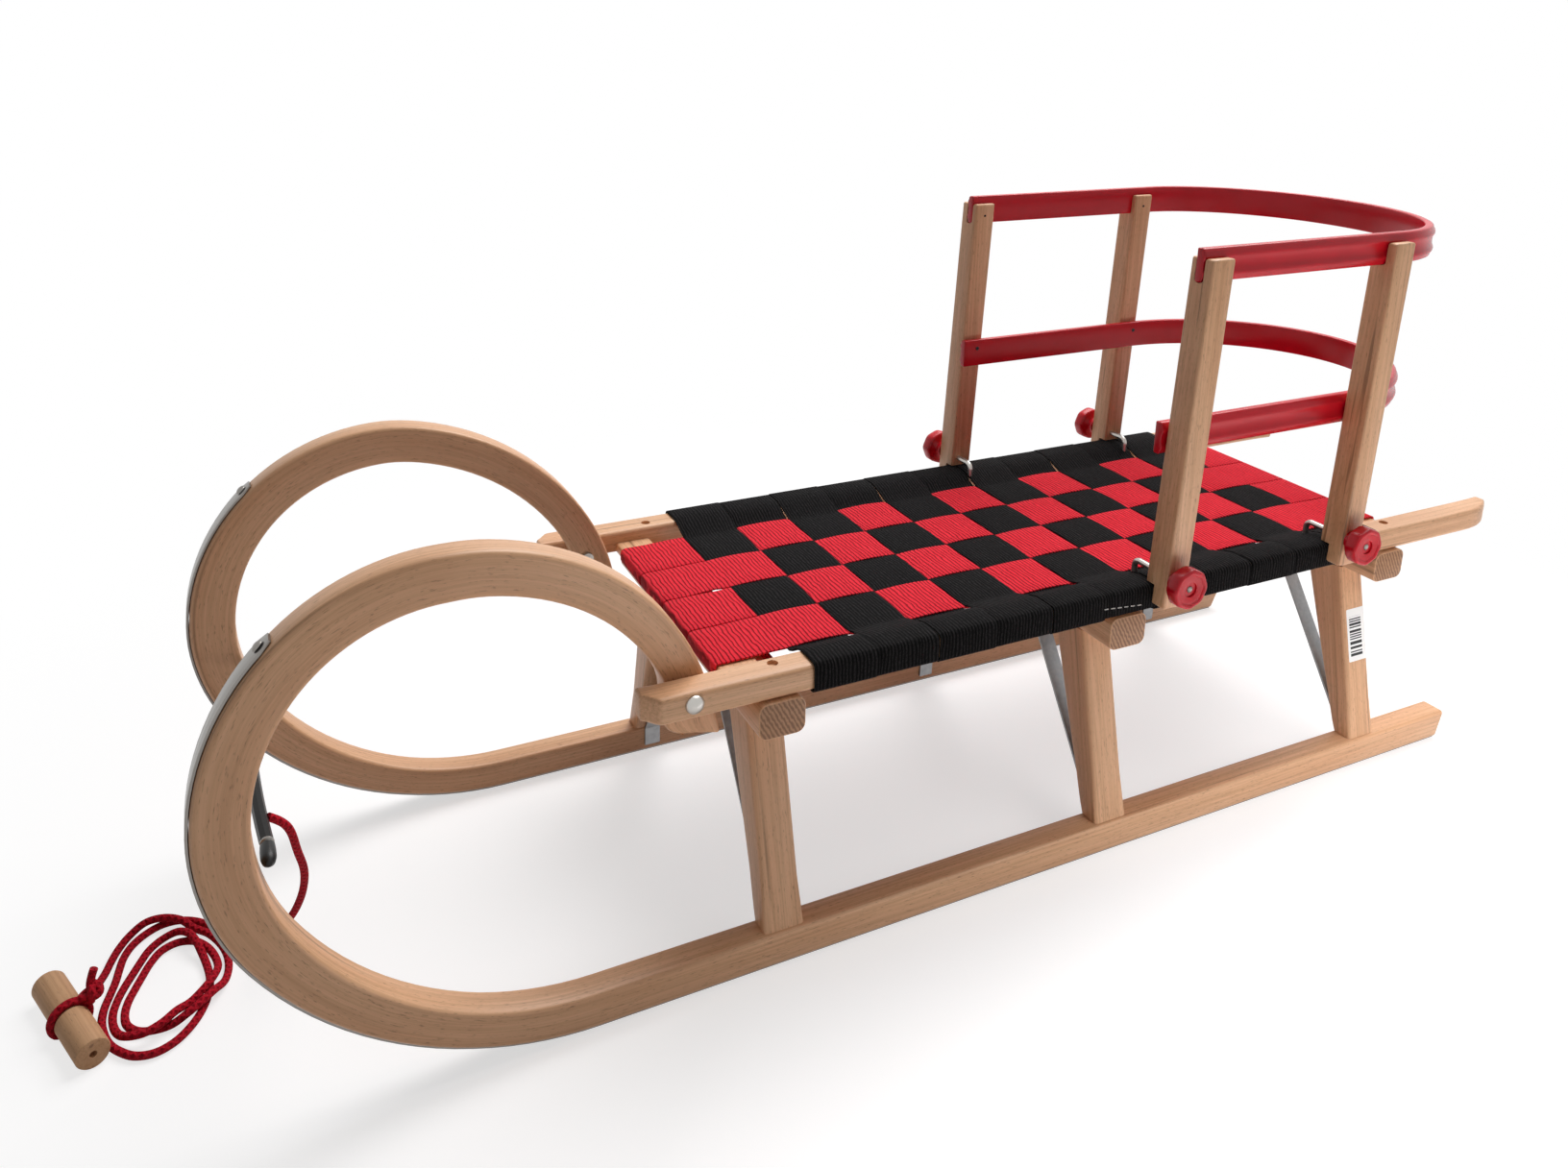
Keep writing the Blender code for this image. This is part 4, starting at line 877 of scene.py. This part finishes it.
def strap(name, node, line, wide, placed, phase, slits, material, slot):
    """A strap along a line of (along, up), with waving edges that draw back at slits."""
    bm = bmesh.new()
    edges = drawn(bm, [(0, wide * (k / 4 - 0.5), 0) for k in range(5)])[1]
    swept(bm, edges, [Matrix.Translation((u, 0, w)) for u, w in line])
    wave = 0.15
    for v in bm.verts:
        if abs(v.co.y) < wide * 0.49:
            continue
        back = wave + wave * math.sin(0.09 * v.co.x + phase)
        for hand, at, depth in slits:
            if hand * v.co.y > 0:
                back += depth * math.exp(-(((v.co.x - at) / 5.0) ** 2))
        v.co.y -= math.copysign(back, v.co.y)
    bmesh.ops.transform(bm, matrix=placed, verts=bm.verts)
    obj = finished(name, bm, material, slot, node, smooth=50.0)
    thick = obj.modifiers.new("thickness", "SOLIDIFY")
    thick.thickness = web_thick * 0.001
    thick.offset = 0.0
    edge = obj.modifiers.new("soft edges", "BEVEL")
    edge.width = 0.0005
    edge.segments = 2


rail_middle = (152.0, 249.0)
# The way round the rail from below. Over a beam it starts four points later.
round_rail = [(150.0, 236.9), (161.5, 236.9), (164.4, 237.5), (166.2, 239.4), (166.9, 239.8),
              (166.9, 256.0), (166.2, 259.0), (164.4, 260.9), (161.5, 261.5), (150.0, 261.5),
              (143.0, 260.9), (134.0, 258.2)]
on_red = [(126.0, 255.6), (119.0, 253.3)]
below_red = [(127.0, 253.6), (121.0, 250.9)]
for j, y in enumerate(black_y, 1):
    woven = []
    for i in range(49):
        x = 114.0 * (1 - i / 24)
        k = min(range(4), key=lambda n: abs(red_x[n] - x))
        up = web_swing if black_is_over(j, k + 1) else -web_swing
        woven.append((x, web_middle + up * crest(x - red_x[k], red_pitch)))
    on_beam = any(abs(y - b) < 47.0 for _, b in beams)
    # Every second strap is drawn round the rail a little less tightly than its neighbours.
    slack = 1.0 + 0.035 * (j % 2)
    turn = [tuple(m + (p - m) * slack for p, m in zip(point, rail_middle))
            for point in round_rail[4 if on_beam else 0:]]
    near = turn + (on_red if black_is_over(j, 1) else below_red)
    far = turn + (on_red if black_is_over(j, 4) else below_red)
    line = near + woven + [(-u, w) for u, w in reversed(far)]
    # Where two straps meet beside the outer red ones, a small slit shows the floor. It is
    # told by its side of the strap, its way along it and its depth.
    slits = [(1 if j % 2 else -1, 119.0, 1.6)]
    strap(f"web_black_{j:02d}", f"strap_black_{j:02d}", line, black_wide,
          Matrix.Translation((0, y, 0)), 1.7 * j, slits, black_web, "black_webbing")

front = [(-193.0, 237.1), (-246.0, 237.1), (-248.8, 238.2), (-249.8, 240.6),
         (-249.8, 246.6), (-248.8, 249.4), (-246.0, 250.4), (-225.0, 250.5)]
rear = [(472.0, 250.5), (493.4, 250.4), (496.2, 249.4), (497.2, 246.6), (497.2, 240.6),
        (496.2, 238.2), (493.4, 237.1), (483.0, 237.1)]
# At the front a small slit shows the floor on each side of the middle gap.
red_slits = {2: [(1, -200.0, 1.5)], 3: [(-1, -200.0, 1.5)]}
for k, x in enumerate(red_x, 1):
    woven = []
    for i in range(161):
        y = -200.0 + 650.0 * i / 160
        j = min(range(11), key=lambda n: abs(black_y[n] - y))
        away = min(1.0, max(0.0, (y + 212.0) / 40), max(0.0, (462.0 - y) / 40))
        up = -web_swing if black_is_over(j + 1, k) else web_swing
        woven.append((y, web_middle + up * crest(y - black_y[j], black_pitch) * away))
    line = front + woven + rear
    lengthwise = Matrix.Translation((x, 0, 0)) @ Matrix.Rotation(math.pi / 2, 4, "Z")
    strap(f"web_red_{k}", f"strap_red_{5 - k}", line, red_wide, lengthwise, 2.3 * k,
          red_slits.get(k, []), red_web, "red_webbing")


# A row of white stitches shows on the outside of the sixth black strap on the left.
# Its thread is twisted polyester, a soft white with fine grey turns.
thread = mottled("white polyester sewing thread", "#D8D4CE", "#F6F4F0", 900.0, 2.0,
                 rough=0.7)
bm = bmesh.new()
seam_start, seam_end = Vector((167.9, 97.0, 249.6)), Vector((167.9, 141.0, 245.4))
for i in range(6):
    share = i / 5.9
    stitch_line = [seam_start.lerp(seam_end, share), seam_start.lerp(seam_end, share + 0.1)]
    rod(bm, smooth_line(stitch_line, 2.0), 0.45, 8)
finished("seam_thread", bm, thread, "black_webbing")


# Four beech posts carry the backrest. Each is notched to sit on the rail and the webbing,
# leans back a little, and is slotted at the top for the upper band.
post_low, post_seat, post_high = 244.9, 263.1, 557.1
post_inner, post_outer, post_lap = 157.5, 183.5, 168.55
post_deep, post_lean = 24.0, 0.046
slot_foot = post_high - 18.5
slot_in, slot_out = post_inner + 6.0, post_inner + 16.2
slot_middle, slot_reach = (slot_in + slot_out) / 2, (slot_out - slot_in) / 2
slot_round = [math.radians(degrees) for degrees in (-15, -40, -65, -90, -115, -140, -165)]
outline = [(post_lap, post_low), (post_outer, post_low), (post_outer, post_high),
           (slot_out, post_high), (slot_out, slot_foot)]
outline += [(slot_middle + slot_reach * math.cos(a), slot_foot + 3 * math.sin(a))
            for a in slot_round]
outline += [(slot_in, slot_foot), (slot_in, post_high), (post_inner, post_high),
            (post_inner, post_seat), (post_lap, post_seat)]
post_rows = (("front", 162.32), ("rear", 381.22))
for index, (row, y) in enumerate(post_rows):
    for side, word in both_sides:
        bm = bmesh.new()
        face = bm.faces.new([bm.verts.new((u, -post_deep / 2, v)) for u, v in outline])
        grown = bmesh.ops.extrude_face_region(bm, geom=[face])["geom"]
        rear_verts = [g for g in grown if isinstance(g, bmesh.types.BMVert)]
        bmesh.ops.translate(bm, vec=(0, post_deep, 0), verts=rear_verts)
        long_edges = []
        for edge in bm.edges:
            low, high = sorted(v.co.z for v in edge.verts)
            if (low < 300 and high > 500) or low > post_high - 2.1 or high < post_low + 1.1:
                long_edges.append(edge)
        bevelled(bm, long_edges, 2.2, clamped=True)
        lean = Matrix.Identity(4)
        lean[1][2] = post_lean
        lean[1][3] = y - post_lean * post_low
        bmesh.ops.transform(bm, matrix=lean, verts=bm.verts)
        mirrored(bm, side)
        grained(bm, (0, 0, 1), 80 + 2 * index + side)
        finished(f"backrest_post_{row}_{word}", bm, oiled_beech, "beech",
                 f"post_{row}_{word}", body="backrest")


# Small round pins: one in each post's inner face above the slot's foot, and a nail with a
# flat head that holds the lower band to the post. Both are blued, as dark as the rubber.
blued = rubber.copy()
blued.name = "blued steel nail"
pin_x, pin_z, pin_size = post_inner, 544.5, 1.3
nail_x, nail_z, nail_size = 147.6, 400.5, 2.2
for row, y in post_rows:
    for side, word in both_sides:
        bm = bmesh.new()
        for face, rise, size in ((pin_x, pin_z, pin_size), (nail_x, nail_z, nail_size)):
            turned(bm, [(-0.6, 0.01), (-0.6, size * 0.8), (0.0, size), (2.0, size), (2.0, 0.01)],
                   Vector((face, y + post_lean * (rise - post_low), rise)), 20)
        mirrored(bm, side)
        finished(f"nails_{row}_{word}", bm, blued, "bolt_steel", body="backrest")


# Two bands bend round the rider's back: the upper one through the slots of the posts, the
# lower one inside the posts, nailed to them. They are moulded of a deep glossy red plastic
# with a faint cloud and an almost flat skin.
red_plastic = mottled("glossy moulded red plastic", "#B8041A", "#CC0C22", 35.0, 3.0,
                      skin=(800.0, 0.12, 0.0002), rough=0.26, specular=0.3)
band_high = 29.0
lower_half = [(-4.8, 1.4), (-4.5, 0.4), (-3.6, 0.0), (0.6, 0.0), (2.6, 1.0), (3.2, 3.2),
              (4.4, 5.0), (4.8, 6.8), (4.4, 8.6), (3.4, 10.4)]
band_section = [*lower_half, (3.0, band_high / 2),
                *((u, band_high - v) for u, v in reversed(lower_half))]
for name, half_x, front_y, centre_y, depth, low in (
    ("upper", 168.6, 163.7, 409.1, 131.0, 535.9),
    ("lower", 152.4, 153.1, 386.7, 167.0, 381.0),
):
    line = [(half_x, front_y + (centre_y - front_y) * s, 1.0, 0.0)
            for s in (0.0, 0.004, 0.25, 0.5, 0.75)]
    for i in range(61):
        a = math.pi * i / 60
        nx, ny = math.cos(a) / half_x, math.sin(a) / depth
        size = math.hypot(nx, ny)
        line.append((half_x * math.cos(a), centre_y + depth * math.sin(a), nx / size, ny / size))
    line += [(-x, y, -nx, ny) for x, y, nx, ny in reversed(line[:5])]
    bm = bmesh.new()
    edges = drawn(bm, [(u, v, 0) for u, v in band_section], closed=True)[1]
    places = [Matrix(((nx, 0, ny, x), (ny, 0, -nx, y), (0, 1, 0, low), (0, 0, 0, 1)))
              for x, y, nx, ny in line]
    softened(bm, closed_bar(bm, edges, places), 1.2)
    finished(f"back_{name}_band", bm, red_plastic, "red_plastic", f"band_{name}",
             body="backrest", smooth=50.0)


# Each post is clamped to the rail by a bent steel hook, whose threaded end runs out
# through the post into a red star knob.
hook_z, hook_bend, hook_inner = 271.8, 6.5, 133.2
knob_profile = [(183.8, 3.1), (183.8, 8.8), (184.2, 9.0), (189.6, 9.0), (190.6, 10.0),
                (191.6, 16.0), (192.4, 17.8), (194.0, 18.6), (201.8, 18.6), (203.6, 18.2),
                (204.6, 17.2), (204.8, 16.0), (204.5, 14.4), (203.7, 13.6), (203.6, 8.0),
                (203.2, 6.8), (201.8, 6.6), (201.8, 3.1), (183.8, 3.1)]
knob_lobes, knob_dip, knob_grip = 8, 0.7, 12.0
for row, y in (("front", 159.56), ("rear", 378.46)):
    centre = Vector((0, y, hook_z))
    line = [centre + Vector((x, 0, 0)) for x in (202.0, 170.0, 150.0, hook_inner + hook_bend)]
    for degrees in (15, 30, 45, 60, 75, 90):
        a = math.radians(degrees)
        line.append(centre + Vector((hook_inner + hook_bend - hook_bend * math.sin(a), 0,
                                     hook_bend * math.cos(a) - hook_bend)))
    line.append(Vector((hook_inner, y, 255.6)))
    for side, word in both_sides:
        bm = bmesh.new()
        # The rod's outer end has a small key hole in it.
        end_face = rod(bm, line, 2.75, 16)[0]
        bmesh.ops.inset_individual(bm, faces=[end_face], thickness=1.3)
        bmesh.ops.translate(bm, vec=(-2.5, 0, 0), verts=end_face.verts)
        mirrored(bm, side)
        finished(f"clamp_hook_{row}_{word}", bm, plated, "hook_steel", f"hook_{row}_{word}",
                 body=f"hook_{row}_{word}", smooth=40.0)
        bm = bmesh.new()
        turned(bm, knob_profile, centre, 96)
        for v in bm.verts:
            out = Vector((0, v.co.y - y, v.co.z - hook_z))
            if out.length > knob_grip:
                around = math.atan2(out.z, out.y)
                dip = knob_dip * (0.5 - 0.5 * math.cos(knob_lobes * around)) ** 0.8
                v.co -= out.normalized() * dip
        mirrored(bm, side)
        finished(f"star_knob_{row}_{word}", bm, red_plastic, "red_plastic",
                 f"knob_{row}_{word}", body=f"knob_{row}_{word}", smooth=40.0)


# A small white paper sticker with plain bars is stuck to the outside of the rear left leg
# and goes round its corner. The bars are matt black and stop short of the paper's edges.
sticker, tree, shader = principled("white paper sticker")
spot = place(tree)
part = add(tree, "ShaderNodeSeparateXYZ", {0: spot})
clear = ranged(noise(spot, (0.0, 0.0, 420.0), 0.0), 0.5, 0.53)
for axis, beyond, edge in ((2, "LESS_THAN", 0.1135), (2, "GREATER_THAN", 0.1545),
                           (1, "LESS_THAN", 0.4505), (1, "GREATER_THAN", 0.4675)):
    margin = calculated(beyond, part.outputs[axis], edge)
    clear = calculated("MAXIMUM", clear, margin)
feed(shader, {"Base Color": blend(clear, "#1E1E20", "#FBFBFA")})
label_y, label_z, label_wide, label_high = 460.8, 135.5, 27.2, 54.0
leg_corner_y, leg_corner = 471.1, 3.8
bm = bmesh.new()
bmesh.ops.create_grid(bm, x_segments=20, y_segments=6, size=0.5)
bmesh.ops.scale(bm, vec=(label_wide, label_high, 1.0), verts=bm.verts)
corners = [v for v in bm.verts if len(v.link_edges) == 2 and abs(v.co.y) > 26]
bevelled(bm, corners, 1.5, affect="VERTICES")
for v in bm.verts:
    y, z = label_y + v.co.x, label_z + v.co.y
    over = max(0.0, y - leg_corner_y)
    fall_back = leg_corner - math.sqrt(leg_corner**2 - over**2)
    share = (z - leg_low) / (leg_high - leg_low)
    v.co = Vector((leg_outer(share) + 0.3 - fall_back, y, z))
finished("paper_sticker", bm, sticker, "beech")
